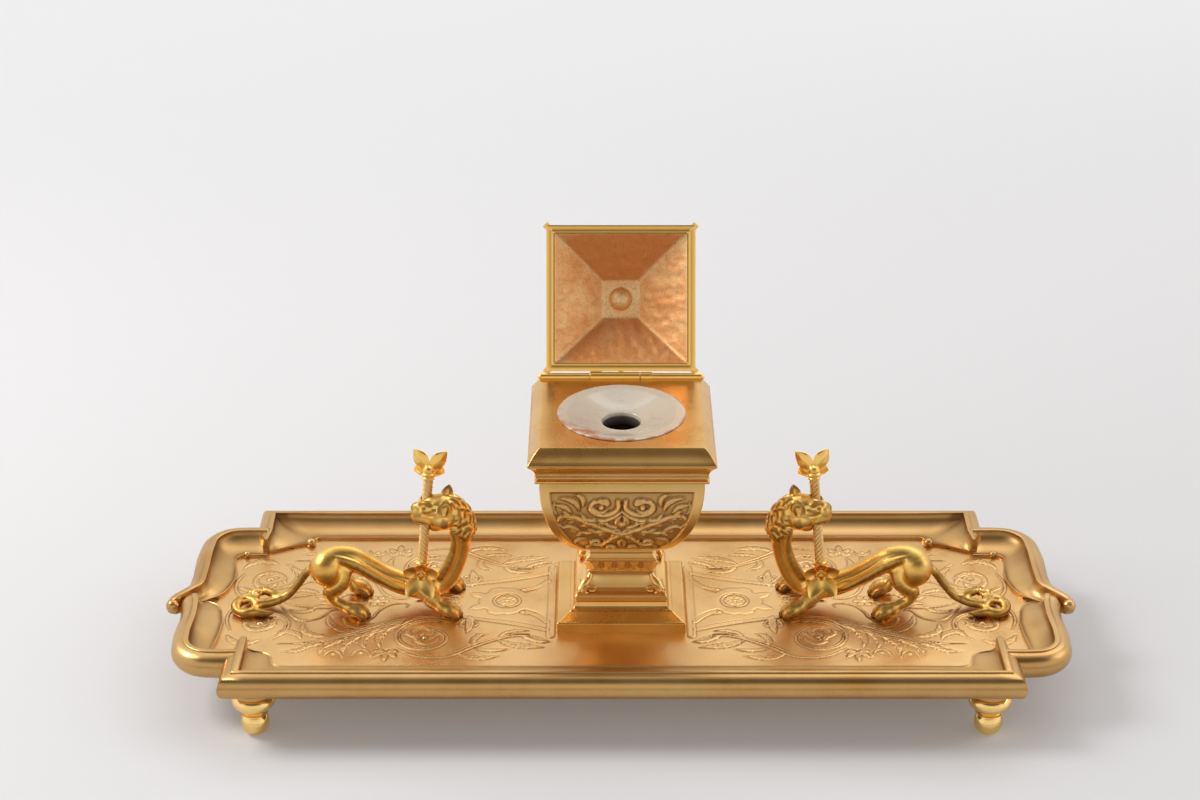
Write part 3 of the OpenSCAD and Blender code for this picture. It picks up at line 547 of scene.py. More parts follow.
# Long side of the rim: the front ends in rounded bars and the back in sharp fins
def mainRimPath(front):
    x, y, b = tray["mainX"], tray["mainY"], tray["bulge"]
    fin, ridge, e = tray["lobeY"] - 8.5, y - tray["coveSide"], x - 22
    lobe = tray["lobeY"]
    mid = [between(lobe, y, share) for share in (0.3, 0.6)]
    rise = [[x + 2, fin, x + 1, fin, x - 1.4, fin, 1], [x + 3.2, fin + 3.5, x + 0.6, fin + 3.5, x - 7, fin + 3, 1],
            [x + b, lobe, x, lobe, x - 11, fin + 5, 1], [x + b, mid[0], x, mid[0], x - 13.6, fin + 6, 1],
            [x + b, mid[1], x, mid[1], x - 15.6, fin + 6.8, 1], [x + b, y + b, x, y, x - 17, ridge - 3, 1]]
    run = [[x - 4, y + b, x - 4, y, x - 17.8, ridge - 1.4, 1], [x - 9, y + b, x - 9, y, x - 18.8, ridge - 0.3, 1],
           [e, y + b, e, y, e - 2, ridge, 1], [e - 12, y + b, e - 12, y, e - 12, ridge, 1]]
    if front:
        rise = [[x + 0.7, fin - 2.1, x - 0.1, fin - 2.1, x - 0.8, fin - 2.1, 0.55],
                [x + 1.5, fin - 1.6, x - 0.1, fin - 1.6, x - 1.7, fin - 1.6, 0.86],
                [x + 2.1, fin - 0.7, x - 0.1, fin - 0.7, x - 2.3, fin - 0.7, 0.98],
                [x + 2.5, fin + 1, x, fin + 1, x - 3.4, fin + 0.3, 1],
                [x + 3, fin + 4, x, fin + 4, x - 7.5, fin + 1.6, 1], [x + b, lobe, x, lobe, x - 10.6, fin + 4, 1],
                [x + b, mid[0], x, mid[0], x - 11.4, fin + 7, 1],
                [x + b, mid[1], x, mid[1], x - 11.9, ridge - 2.6, 1],
                [x + b, y + b, x, y, x - 12.9, ridge - 1, 1]]
        run[0][4:6], run[1][4:6] = (x - 14.2, ridge - 0.25), (x - 16.6, ridge)
    corner = np.vstack([smoothRows(rise, 5), smoothRows(run, 3)])
    left = corner * [-1, -1, -1, -1, -1, -1, 1]
    right = corner[::-1] * [1, -1, 1, -1, 1, -1, 1]
    return np.vstack([left, right])


def lobeTurnPath(x, y, b, rx, ry):
    rows, turn = [], tray["lobeTurn"]
    centre, inside = np.array([x - turn] * 2) + [0, y - x], np.array([rx - 3.5, ry - 3.5])
    for angle in np.radians(range(90, -1, -15)):
        d = np.array([math.cos(angle), math.sin(angle)])
        rows.append([*(centre + d * (turn + b)), *(centre + d * turn), *(inside + d * 3.5), 1])
    return rows


def lobePaths():
    x, y, b, tip = tray["lobeX"], tray["lobeY"], tray["bulge"], tray["earTip"]
    rx, ry = x - tray["coveEnd"], y - tray["coveSide"]
    turn, frontTurn = lobeTurnPath(x, y, b, rx, ry), lobeTurnPath(x, y, b, rx, y - 4)
    ear = x + (tip - x) * 0.84, x + (tip - x) * 0.97
    back = [[tray["mainX"], y + b, tray["mainX"], y, tray["mainX"], ry, 1]] + turn + [
        [x + b, 9, x, 9, rx, 8, 1], [x + b + 0.7, 4.5, x + 0.2, 5, rx + 2.5, 3.2, 1],
        [x + b + 2.6, 1.6, x + 1.4, 2, rx + 5.5, 0.4, 1], [ear[0], -0.6, x + 4, -0.8, x + 1, -2.6, 0.92],
        [ear[1], -3.2, x + 7.6, -4, x + 5.4, -5.4, 0.8], [tip, -6, x + 9.8, -6.6, x + 8.2, -7.2, 0.6],
        [tip - 0.9, -8.6, x + 10.3, -8.6, x + 9.2, -8.6, 0.3]]
    front = [[x + 5.6, -2.4, x + 3.6, -1.8, x + 2.6, -1.5, 0.3],
             [x + b + 1.2, -6.4, x + 2, -4.6, rx + 6.4, -2.4, 0.97],
             [x + b + 0.6, -10.5, x + 0.6, -8.6, rx + 2.6, -4.4, 1], [x + b, -15, x, -14, rx, -9.5, 1]]
    front += [[p * s for p, s in zip(row, (1, -1, 1, -1, 1, -1, 1))] for row in reversed(frontTurn)]
    front += [[tray["mainX"], -y - b, tray["mainX"], -y, tray["mainX"], 4 - y, 1]]
    return smoothRows(back, 4), smoothRows(front, 4)


def squareRing(half, deep, corner, z, middle, around=6):
    points = []
    for cx, cy, first in ((1, -1, -90), (1, 1, 0), (-1, 1, 90), (-1, -1, 180)):
        for k in range(around + 1):
            a = math.radians(first + 90 * k / around)
            points.append((cx * (half - corner) + corner * math.cos(a),
                           middle + cy * (deep - corner) + corner * math.sin(a), z))
    return points


def ballMesh(name, centre, radius, around=20):
    rows = [(radius * math.cos(t), centre[2] + radius * math.sin(t)) for t in np.linspace(-1.45, 1.45, 11)]
    return turnMesh(latheMesh(name, rows, 0, around), shift(centre[0], centre[1]))


def makeTray():
    backPath, frontPath = lobePaths()
    rims = [makeMesh("rim", *sweepRim(mainRimPath(front)), 38, outward=True) for front in (True, False)]
    lobes = [makeMesh("lobe", *sweepRim(path), 38, outward=True) for path in (backPath, frontPath)]
    turnMesh(rims[1], Matrix.Scale(-1, 4, (0, 1, 0)))
    for lobe in lobes:
        rims += [lobe, mirrored(lobe, "lobeLeft")]
    for sx in (-1, 1):
        for x, y, z, radius, around in trayEnds["balls"]:
            rims.append(ballMesh("ball", (sx * x, y, z), radius, around))
        half, deep, corner = trayEnds["barSize"]
        rings = []
        for inset, z in trayEnds["barRows"]:
            rings += squareRing(half - inset, deep - inset, corner - inset, z, trayEnds["bar"][1])
        bar = makeMesh("barEnd", rings, tubeFaces(len(trayEnds["barRows"]), 28), 50, outward=True)
        rims.append(turnMesh(bar, shift(sx * trayEnds["bar"][0])))
        for sy in (-1, 1):
            rims.append(turnMesh(latheMesh("pad", trayEnds["pad"], 0.2, 48), shift(sx * foot["x"], sy * foot["y"])))
    right = trayEnds["plate"]
    outline = right + [(-x, y) for x, y in reversed(right)]
    plate = [(x, y, z) for z in trayEnds["plateLevels"] for x, y in outline]
    rims.append(makeMesh("plate", plate, tubeFaces(2, len(outline)), 30, outward=True))
    mesh = markHollows(joinMeshes("trayRim", rims, 38), 0.25)
    makePiece("trayRim", mesh, "stand", rimShadedGilding, ["tray"])


makeTray()
print("tray rim made")

# Low relief

# Short lines off both sides of a spine, from a share of its length on and spread over a run of it
def veinPaths(spine, veins, start, run, ahead, wide):
    count = len(spine)
    for i in range(veins):
        at = int(count * (start + run * i / veins))
        way = spine[min(at + max(count // 6, 1), count - 1)] - spine[at]
        side = np.array([-way[1], way[0]]) / max(np.linalg.norm(way), 1e-6) * wide
        for turn in (-1, 1):
            yield [spine[at], spine[at] + way * ahead + turn * side]


class Relief:  # heights over a grid of one quarter or half of a sheet, raised and cut by strokes
    def __init__(self, u, v):
        self.u, self.v = np.meshgrid(u, v)
        self.left, self.low, self.cell = u[0], v[0], u[1] - u[0]
        self.raised = np.zeros_like(self.u)
        self.cut = np.zeros_like(self.u)
        self.thin = 1.0

    # Distance of each cell from a path and the share of its length there, as far as reach
    def near(self, path, reach):
        path = np.asarray(path, float)
        far = np.full(self.u.shape, 1e9)
        share = np.zeros_like(far)
        lengths = np.concatenate([[0], np.cumsum(np.linalg.norm(np.diff(path, axis=0), axis=1))])
        for i in range(len(path) - 1):
            a, b = path[i], path[i + 1]
            low, high = np.minimum(a, b) - reach, np.maximum(a, b) + reach
            c0, c1 = int((low[0] - self.left) / self.cell), int((high[0] - self.left) / self.cell) + 2
            r0, r1 = int((low[1] - self.low) / self.cell), int((high[1] - self.low) / self.cell) + 2
            area = slice(max(r0, 0), max(r1, 0)), slice(max(c0, 0), max(c1, 0))
            du, dv = self.u[area] - a[0], self.v[area] - a[1]
            run = b - a
            t = np.clip((du * run[0] + dv * run[1]) / max(run @ run, 1e-12), 0, 1)
            d = np.hypot(du - t * run[0], dv - t * run[1])
            better = d < far[area]
            far[area] = np.where(better, d, far[area])
            share[area] = np.where(better, (lengths[i] + t * (lengths[i + 1] - lengths[i])) / lengths[-1],
                                   share[area])
        return far, share

    # Distance of each cell from a path, and the half width of a stroke there
    def stroke(self, path, halves):
        halves = np.atleast_1d(np.asarray(halves, float))
        far, share = self.near(path, halves.max() + 0.9)
        return far, np.interp(share, np.linspace(0, 1, len(halves)), halves)

    # Thin cut beside an edge: gap is the distance of each cell from the edge, outwards
    def cutBeside(self, gap, depth, place=0.25, reach=0.4, where=1.0):
        self.cut = np.maximum(self.cut, depth * np.clip(1 - np.abs(gap - place) / reach, 0, 1) * where)

    # Raised band: halves are its half widths along the path, round is how domed its top is
    def band(self, path, halves, height=0.4, round=0.4, outline=0.08):
        far, half = self.stroke(path, np.asarray(halves, float) * self.thin)
        inside = np.clip(1 - (far / np.maximum(half, 1e-3)) ** 2, 0, 1)
        self.raised = np.maximum(self.raised, height * inside**round)
        if outline:
            self.cutBeside(far - half, outline, 0.22, 0.42, half > 0.12)

    # Flat strap with a thin raised line along each edge
    def rail(self, path, halves, height=0.3):
        far, half = self.stroke(path, halves)
        inner = np.clip((far - half + 0.75) / 0.3, 0, 1)
        self.raised = np.maximum(self.raised, height * np.clip((half - far) / 0.25, 0, 1) * (0.45 + 0.55 * inner))
        self.cutBeside(far - half, 0.12)

    # Thin raised line with pointed ends
    def line(self, points, height=0.3, half=0.38):
        self.band(smoothRows(points, 6), [0.12, half, half, half, 0.14], height, 0.3, 0.12)

    # Engraved leaf: a thin raised edge, a midrib and short lines off it
    def frond(self, points, width, height=0.3, veins=3):
        spine = smoothRows(points, 5) if len(points) > 2 else np.asarray(points, float)
        self.rail(spine, [0.25 * width, 0.9 * width, width, 0.8 * width, 0.1], height * 0.9)
        self.band(spine, [0.2, 0.2, 0.05], height, 0.3, 0)
        for vein in veinPaths(spine, veins, 0.12, 0.6, 1.1, width * 1.3):
            self.band(vein, [0.28, 0.1], height, 0.3, 0.1)

    def stem(self, points, halves, height):
        self.band(smoothRows(points, 6), halves, height)

    def groove(self, path, half=0.3, depth=0.2):
        far, _ = self.near(path, half + 0.5)
        self.cut = np.maximum(self.cut, depth * np.clip(1 - (far / half) ** 2, 0, 1))

    def leaf(self, points, width, height=0.5, veins=4, steps=6):
        spine = smoothRows(points, steps)
        self.band(spine, [0.1 * width, 0.75 * width, width, 0.86 * width, 0.5 * width, 0.02], height, 0.5)
        self.groove(spine[: int(len(spine) * 0.86)], 0.24, height * 0.45)
        for vein in veinPaths(spine, veins, 0.16, 0.5, 0.8, width * 0.85):
            self.groove(vein, 0.17, height * 0.3)

    # Small leaves to both sides of a stem
    def sprigs(self, points, count, long, width, height=0.5):
        spine = smoothRows(points, 8)
        for i in range(count):
            at = int((len(spine) - 2) * (i + 0.5) / count)
            ahead = spine[at + 1] - spine[at]
            ahead /= max(np.linalg.norm(ahead), 1e-6)
            side = np.array([-ahead[1], ahead[0]]) * (1 if i % 2 else -1)
            self.leaf([spine[at], spine[at] + (ahead * 0.5 + side * 0.5) * long,
                       spine[at] + (ahead * 1.1 + side * 0.75) * long], width, height, 1, 4)

    # Spiral that starts at angle a0 with radius r0 and winds in to r1 at a1
    def curl(self, centre, r0, r1, a0, a1, halves, height=0.4, squash=1.0, bud=0.0):
        t = np.linspace(0, 1, 44)[:, None]
        angle = np.radians(a0 + (a1 - a0) * t)
        radius = r0 + (r1 - r0) * t**0.85
        path = np.hstack([centre[0] + radius * np.cos(angle), centre[1] + radius * np.sin(angle) * squash])
        self.band(path, halves, height)
        if bud:
            self.dot(path[-1], bud, height * 1.25)
        return path

    def dot(self, centre, radius, height=0.5):
        self.band([centre, (centre[0] + 0.01, centre[1])], [radius], height, 0.5)

    def plate(self, outline, height=0.3, soft=0.4):
        outline = np.asarray(outline, float)
        ring = np.vstack([outline, outline[:1]])
        far, _ = self.near(ring, 3.0)
        inside = np.zeros(self.u.shape, bool)
        for (au, av), (bu, bv) in zip(ring[:-1], ring[1:]):
            crosses = (av > self.v) != (bv > self.v)
            inside ^= crosses & (self.u < (bu - au) * (self.v - av) / (bv - av + 1e-12) + au)
        self.raised = np.maximum(self.raised, np.where(inside, height * np.clip(far / soft, 0, 1) ** 0.6, 0))
        self.cutBeside(np.where(inside, -far, far), 0.09)

    def heights(self):
        return self.raised - self.cut


def arcPoints(centre, radius, angles, squash=1.0):
    return [(centre[0] + radius * math.cos(a), centre[1] + radius * math.sin(a) * squash) for a in np.radians(angles)]


def spoke(centre, angle, near, far):
    return [arcPoints(centre, radius, [angle])[0] for radius in (near, far)]


def softened(field, rounds):
    for _ in range(rounds):
        wide = np.pad(field, 1, mode="edge")
        field = (wide[:-2, 1:-1] + wide[2:, 1:-1] + wide[1:-1, :-2] + wide[1:-1, 2:] + 4 * field) / 8
    return field


def hollowsOf(field, rounds=5, depth=0.16):
    return np.clip((softened(field, rounds) - field) / depth, 0, 1)


# Tray floor

# Areas are where the sheet is kept: from y, to y, as far out as x
floorCarving = {"cell": 0.4, "level": 22.3, "width": 155.6, "depth": 50.4, "height": 0.36, "wave": 0.05,
                "areas": [(-37, 37, 160), (-41, 41, 141), (-55, 55, 131), (-43.4, 0, 153.4)]}


# Ornament of one quarter of the floor: u is away from the middle, v is from the middle to the long side
def carveFloor(relief):
    h = floorCarving["height"]
    # strap frame beside the plinth
    relief.rail([(26.6, -1), (26.6, 26)], [1.5], h)
    relief.rail(smoothRows([(28.4, 21.6), (36, 18.6), (45.5, 15.8), (60, 12.4)], 6), [1.1, 1.1, 0.9], h)
    relief.rail(smoothRows([(28.2, 15.8), (31, 12), (34.4, 9.4), (37.6, 8.6)], 6), [1.0, 1.0, 1.2], h)
    relief.dot((37.6, 8.6), 0.7, h * 1.3)
    # plain field with bites out of its edge, and a flower in a ring on it
    edge = [(28.1, 0), (28.1, 14.2), (32.6, 9.0), (37.0, 6.2), (39.6, 8.8), (42.4, 10.2), (43.4, 10.0)]
    edge += arcPoints((45.2, 11.6), 1.9, (220, 250, 290, 320)) + [(47.6, 10.4), (50.2, 9.4), (51.0, 8.2)]
    edge += arcPoints((52.6, 7.4), 1.6, (200, 240, 280, 320))
    edge += [(55.4, 6.6), (58.4, 6.2), (57.0, 3.6), (54.4, 2.0), (54.8, 0)]
    relief.plate(edge + [(u, -v) for u, v in reversed(edge)], h * 0.62)
    relief.band(arcPoints((44, 0), 4.9, np.linspace(0, 360, 49), 0.98), [0.45], h * 1.3, 0.4, 0.25)
    for angle in (45, 135, 225, 315):
        relief.rail(spoke((44, 0), angle, 1.3, 2.4), [1.3, 1.5], h * 1.2)
    relief.dot((44, 0), 0.7, h * 1.8)
    # fleuron at the tip of the frame
    relief.frond([(58, 11.4), (57.6, 17), (58.4, 24)], 1.5, h, 2)
    for way in (-1, 1):
        relief.line([(58, 13.6), (58 + way * 2.2, 15.2), (58 + way * 3.2, 18.2), (58 + way * 2, 19.4),
                     (58 + way * 1.2, 18)], h)
    # big scroll of two lines, and the curled leaves at its heart
    relief.curl((73.5, 27.0), 14.6, 3.4, -128, 418, [0.35, 0.5, 0.5, 0.4, 0.35], h, 0.95)
    relief.curl((73.5, 27.0), 12.9, 2.2, -110, 430, [0.3, 0.34, 0.34, 0.3], h, 0.95)
    for row in ([(77.6, 30), (73.6, 31.4), (69.8, 29.2), (69, 25.8)],
                [(74.2, 26.6), (71.6, 23.6), (73.4, 20.8), (76.6, 20.6)],
                [(75.6, 27.6), (79.2, 25.6), (80.8, 22.8), (79.2, 20.8)]):
        relief.frond(row, 1.2, h, 2)
    relief.dot((74, 27.2), 1.1, h * 1.6)
    # stem from the scroll to the frame, with leaves along it
    relief.line([(84.6, 34.4), (76, 40.8), (66, 41.4), (55.7, 34.4), (48.9, 29.9), (41.9, 26.6), (34, 26.1),
                 (27.4, 29.6)], h, 0.5)
    relief.line([(62.6, 37.4), (54.4, 31.6), (47.4, 27.8), (41.4, 25), (34.6, 24.8)], h)
    for row, width in (([(46, 29.4), (41, 32.4), (35, 33.6), (29, 34.4)], 1.6),
                       ([(55, 35.2), (50.6, 36.4), (46.3, 36.4), (42, 35.3)], 0.9),
                       ([(61, 38.8), (56.6, 41.6), (51, 41.8), (45.6, 40.4)], 1.3),
                       ([(55, 33), (55.6, 28.6), (53.4, 25.6), (50.6, 24.4)], 1.2),
                       ([(46, 27.6), (43.6, 23.8), (40.2, 22.4), (35, 22.4)], 1.0),
                       ([(38, 25.6), (33.4, 29), (29.6, 30.4), (26, 30.2)], 0.9)):
        relief.frond(row, width, h, 3)
    # long acanthus that runs out to the end of the tray, as a sheaf of lines
    for i in range(5):
        k = i - 1.5
        relief.line([(64 + i, 13.4 - 0.4 * k), (74 + i, 12.6 + 0.5 * k), (84, 15.8 + 1.1 * k), (93, 20.2 + 1.5 * k),
                     (102, 24.8 + 1.5 * k), (110, 28.6 + 1.0 * k), (120 - i * 2, 31.8 + 0.5 * k),
                     (129 - i * 4, 31.6)],
                    h, 0.34)
    for row, width in (([(85, 17.8), (89.6, 22.6), (91.6, 28.4), (90.4, 34.4)], 1.4),
                       ([(89.5, 20.6), (95, 24.6), (97.2, 29.6), (95.8, 35.4)], 1.5),
                       ([(96, 24.4), (101, 28.2), (103.8, 32.4), (103.6, 38.4)], 1.5),
                       ([(104, 28.4), (109, 31.4), (112, 35), (112.4, 39.4)], 1.4),
                       ([(112, 31.4), (117.4, 33.6), (121, 36.6), (126.6, 37)], 1.2),
                       ([(90, 16.8), (96.8, 19.4), (103.4, 17.6), (106.4, 12.4)], 1.4),
                       ([(99, 22.2), (105.5, 21.6), (110.3, 17), (112.3, 10.4)], 1.5),
                       ([(110, 27), (115.6, 25.6), (120.1, 22.2), (121, 16.4)], 1.3)):
        relief.frond(row, width, h, 4)
    # palmette and fans at the front
    for angle, long in ((55, 7.4), (90, 8.6), (125, 7.4), (24, 5), (156, 5)):
        relief.frond(spoke((88, 35.6), angle, 1.4, long), 1.25, h, 0)
    for u, v in ((97, 36), (107.4, 36.8)):
        relief.line([(u - 3.4, v + 4), (u - 2.2, v + 1), (u, v - 0.3), (u + 2.2, v + 1), (u + 3.4, v + 4)], h, 0.4)
        relief.dot((u, v + 2.2), 0.8, h)
    # flower, leaves and line along the middle
    for angle in range(0, 360, 60):
        relief.rail(spoke((94, 0), angle, 1.4, 2.9), [0.9, 1.2], h)
    relief.dot((94, 0), 0.9, h * 1.6)
    relief.line([(99.6, 17.4), (94.6, 12), (93.4, 8.6), (90.6, 4.4), (85.9, 1.8), (81.9, 2.6), (82.4, 4.6)], h, 0.4)
    relief.frond([(62, 3.2), (66.5, 5.6), (71, 5), (75.8, 2)], 1.3, h, 2)
    relief.line([(62, 0.9), (67, 2.2), (73, 0.8), (79, 0.4)], h, 0.4)
    relief.line([(98.4, 1), (104, 4.6), (110, 5), (113.9, 5.4), (123.3, 3.8), (131.1, 0.6)], h, 0.45)
    relief.line([(108.1, 6.7), (111.3, 7.4), (113, 10.2), (116, 13.4), (121.9, 14.8), (127.5, 9), (131.6, 2.4)],
                h, 0.4)
    relief.frond([(107, 4.4), (111, 2.2), (114.6, 1.6), (118, 3)], 1.2, h, 2)
    relief.frond([(117, 5.2), (121, 8), (124.4, 8.2), (127.4, 6.2)], 1.1, h, 2)
    # scroll in the lobe
    relief.curl((136.6, 17.4), 12.2, 3.2, 112, 560, [0.35, 0.5, 0.5, 0.4], h, 0.98)
    relief.curl((136.6, 17.4), 10.6, 2.4, 130, 570, [0.3, 0.34, 0.34, 0.3], h, 0.98)
    for row in ([(131.4, 14), (134, 20), (139, 21.6), (143, 18.6)],
                [(143.6, 14), (140.4, 11.2), (136, 11.8), (134.4, 14.8)],
                [(130, 25.7), (126.6, 23), (122.4, 24.5), (120.5, 28.4)],
                [(136, 29), (141.6, 31.6), (146.4, 29.4), (149, 25)]):
        relief.frond(row, 1.4, h, 3)
    relief.dot((137.4, 16.8), 1.2, h * 1.6)
    relief.line([(148, 22), (150.4, 13), (148.4, 5.2), (143.4, 1.2)], h, 0.45)
    relief.frond([(149.4, 10.6), (145.4, 8.4), (142, 5.8), (140.8, 2.4)], 1.2, h, 3)


def makeFloor():
    cell = floorCarving["cell"]
    u = np.arange(0, floorCarving["width"] + cell, cell)
    v = np.arange(0, floorCarving["depth"] + cell, cell)
    relief = Relief(u, v)
    carveFloor(relief)
    quarter = relief.heights()
    quarter = 0.7 * quarter + 0.3 * softened(quarter, 2)
    field = np.vstack([quarter[:0:-1], quarter])
    y = np.concatenate([-v[:0:-1], v])
    wave = floorCarving["wave"] * np.sin(u[None, :] * 0.31 + 1.1) * np.sin(y[:, None] * 0.37)
    # hollows of the relief, where the floor's material paints shade
    hollow = hollowsOf(field)
    inside = np.zeros(field.shape, bool)
    for low, high, out in floorCarving["areas"]:
        inside |= (y[:, None] > low) & (y[:, None] < high) & (u[None, :] < out)
    for side, name in ((-1, "floorLeft"), (1, "floorRight")):
        ys, xs = np.meshgrid(y, side * u, indexing="ij")
        points = np.stack([xs, ys, floorCarving["level"] + field + wave], -1).reshape(-1, 3)
        index = np.arange(len(points)).reshape(len(y), len(u))
        keep = inside[:-1, :-1]
        corners = [index[:-1, :-1][keep], index[:-1, 1:][keep], index[1:, 1:][keep], index[1:, :-1][keep]]
        faces = np.stack(corners if side > 0 else corners[::-1], 1)
        used = np.unique(faces)
        place = np.zeros(len(points), int)
        place[used] = np.arange(len(used))
        mesh = makeMesh(name, points[used], place[faces], 60, {"hollow": hollow.reshape(-1)[used]})
        makePiece(name, mesh, "stand", floorGilding)


makeFloor()
print("tray floor carved")

# Feet

def makeFeet():
    r, pad = foot["ball"] / 2, foot["pad"]
    neck = r * 0.85
    ballZ = math.sqrt(r * r - pad * pad)
    neckZ = ballZ + math.sqrt(r * r - neck * neck) * 1.6
    bunZ = (neckZ + foot["height"]) / 2 + 0.4
    tall = foot["height"] - bunZ
    rows = [(pad * 0.6, 0.0), (pad, 0.02)]
    rows += arcRows(r, ballZ, np.arange(-56, 44, 6))
    rows += [(neck * 0.97, neckZ - 0.9), (neck * 0.95, neckZ - 0.5), (neck * 1.12, neckZ - 0.25),
             (neck * 1.14, neckZ + 0.1), (neck * 1.0, neckZ + 0.3)]
    rows += arcRows(foot["bun"] / 2, bunZ, np.arange(-68, 76, 8), tall, 0.8)
    rows += [(foot["bun"] * 0.36, foot["height"] + 0.05)]
    for name, sx, sy in (("front_left", -1, -1), ("front_right", 1, -1), ("back_left", -1, 1), ("back_right", 1, 1)):
        mesh = markHollows(turnMesh(latheMesh("foot_" + name, rows, 0, 64), shift(sx * foot["x"], sy * foot["y"])))
        makePiece("footTurned" + name.title().replace("_", ""), mesh, "stand", footGilding,
                  ["foot_" + name])


makeFeet()
print("feet turned")


# Pedestal

pedestal = {"floor": 22.2, "slab": 48.7, "slabHeight": 4.2, "baseTop": 31.7, "block": 33.9, "blockHeight": 3.2,
            "neck": 22.4, "neckTop": 41.8, "collar": 26.6, "collarTop": 50.0, "nailHeads": 5}


# Tapered round bar along points, with its radius as the fourth number of each
def barMesh(name, points, steps=5, around=10, flat=1.0):
    rows = smoothRows(points, steps)
    ahead = np.gradient(rows[:, :3], axis=0)
    ahead /= np.linalg.norm(ahead, axis=1)[:, None]
    side = np.cross(ahead[0], [0.13, 0.21, 1.0] if abs(ahead[0][2]) < 0.9 else [1.0, 0.1, 0.0])
    rings = []
    for centre, way in zip(rows, ahead):
        side = side - way * (side @ way)
        side /= np.linalg.norm(side)
        up = np.cross(way, side)
        for k in range(around):
            a = 2 * math.pi * k / around
            rings.append(centre[:3] + centre[3] * (side * math.cos(a) + up * math.sin(a) * flat))
    return makeMesh(name, rings, tubeFaces(len(rows), around), 50, outward=True)


def makePedestal():
    p = pedestal
    s, b, n, c = p["slab"] / 2, p["block"] / 2, p["neck"] / 2, p["collar"] / 2
    z0, z1, z2 = p["floor"], p["floor"] + p["slabHeight"], p["baseTop"]
    rows = [(s, z0), (s, z1 - 0.1), (s - 0.35, z1 + 0.35), (s - 0.9, z1 + 0.4)]
    bevel = ((0.34, 0.5), (0.3, 0.56), (0.17, 0.6), (0.09, 0.74), (0.04, 0.9))
    rows += [(between(b, s, out), between(z1, z2, up)) for out, up in bevel]
    mesh = squareMesh("pedestalBase", rows + [(b, z2)], 0.4, 0.35, 10)
    makePiece("pedestalBase", markHollows(mesh, 0.2), "stand", plateGilding, ["pedestal_base"])

    top, blockTop = p["neckTop"], z2 + p["blockHeight"]
    rows = [(b, z2), (b + 0.45, z2 + 0.7), (b + 0.45, blockTop - 0.7), (b - 0.1, blockTop),
            (between(n, b, 0.62), blockTop + 0.25)]
    rows += [(between(n, b, 0.5 * (1 - t) ** 1.9), between(blockTop + 0.3, top - 0.8, t ** 0.8))
             for t in np.linspace(0.1, 1, 9)]
    rows += [(n + 0.5, top - 0.5), (n + 0.5, top)]
    parts = [squareMesh("neck", rows, 0.5, 0.25, 10)]
    # a leaf over each corner, ending in two small scrolls on the block
    for turn in range(4):
        quarter = Matrix.Rotation(turn * math.pi / 2, 4, "Z")
        leaf = [[(b - 1.2), -(b - 1.2), blockTop + 0.7, 1.5], [(b - 2.6), -(b - 2.6), blockTop + 1.7, 2.1],
                [between(n, b, 0.42), -between(n, b, 0.42), blockTop + 3.1, 1.9],
                [between(n, b, 0.16), -between(n, b, 0.16), top - 2.3, 1.35],
                [n + 0.2, -(n + 0.2), top - 0.6, 0.9]]
        parts.append(turnMesh(barMesh("leaf", leaf, 5, 12), quarter))
        for flip in (-1, 1):
            wind = []
            for t in np.linspace(0, 1, 12):
                a = math.radians(-60 + 430 * t)
                r = 2.5 * (1 - t) + 0.5
                wind.append([b - 5.6 + r * math.cos(a), -(b - 1.35), blockTop + 1.5 + r * 0.62 * math.sin(a),
                             0.62 - 0.2 * t])
            edge = [[b - 0.9, -(b - 0.9), blockTop + 0.8, 0.7], [b - 2.4, -(b - 1.2), blockTop + 2.3, 0.75],
                    [b - 4.6, -(b - 2.2), blockTop + 3.0, 0.7],
                    [n + 1.6, -(n + 0.9), top - 2.4, 0.5], [n + 0.2, -(n + 0.3), top - 0.8, 0.4]]
            for rows in (wind, edge):
                lock = barMesh("scroll", rows, 3, 8)
                if flip > 0:  # the same shape on the other side of the corner
                    turnMesh(lock, Matrix(((0, -1, 0, 0), (-1, 0, 0, 0), (0, 0, 1, 0), (0, 0, 0, 1))))
                parts.append(turnMesh(lock, quarter))
    mesh = markHollows(joinMeshes("pedestalNeck", parts), 0.16)
    makePiece("pedestalNeck", mesh, "stand", bowlGilding, ["pedestal_neck"])

    t0, t1 = p["neckTop"], p["collarTop"]
    tall, bowlFoot = t1 - t0, bowlHalf(bowl["turn"]) + 0.2
    steps = ((0.9, 0.05), (0.55, 0.12), (1.5, 0.2), (1.7, 0.58), (0.5, 0.63), (0, 0.68), (0, 0.76), (0.5, 0.8))
    rows = [(n + 0.5, t0)] + [(c - inset, t0 + tall * share) for inset, share in steps]
    rows += [(bowlFoot, t1 - 0.3), (bowlFoot, t1)]
    mesh = squareMesh("collar", rows, 0.3, 0.25, 10)
    heads = growNailHeads(p["nailHeads"], c, t0 + tall * 0.37)
    mesh = markHollows(joinMeshes("collar", [mesh, heads], 30), 0.16)
    makePiece("collar", mesh, "stand", bowlGilding, ["bead_collar"])


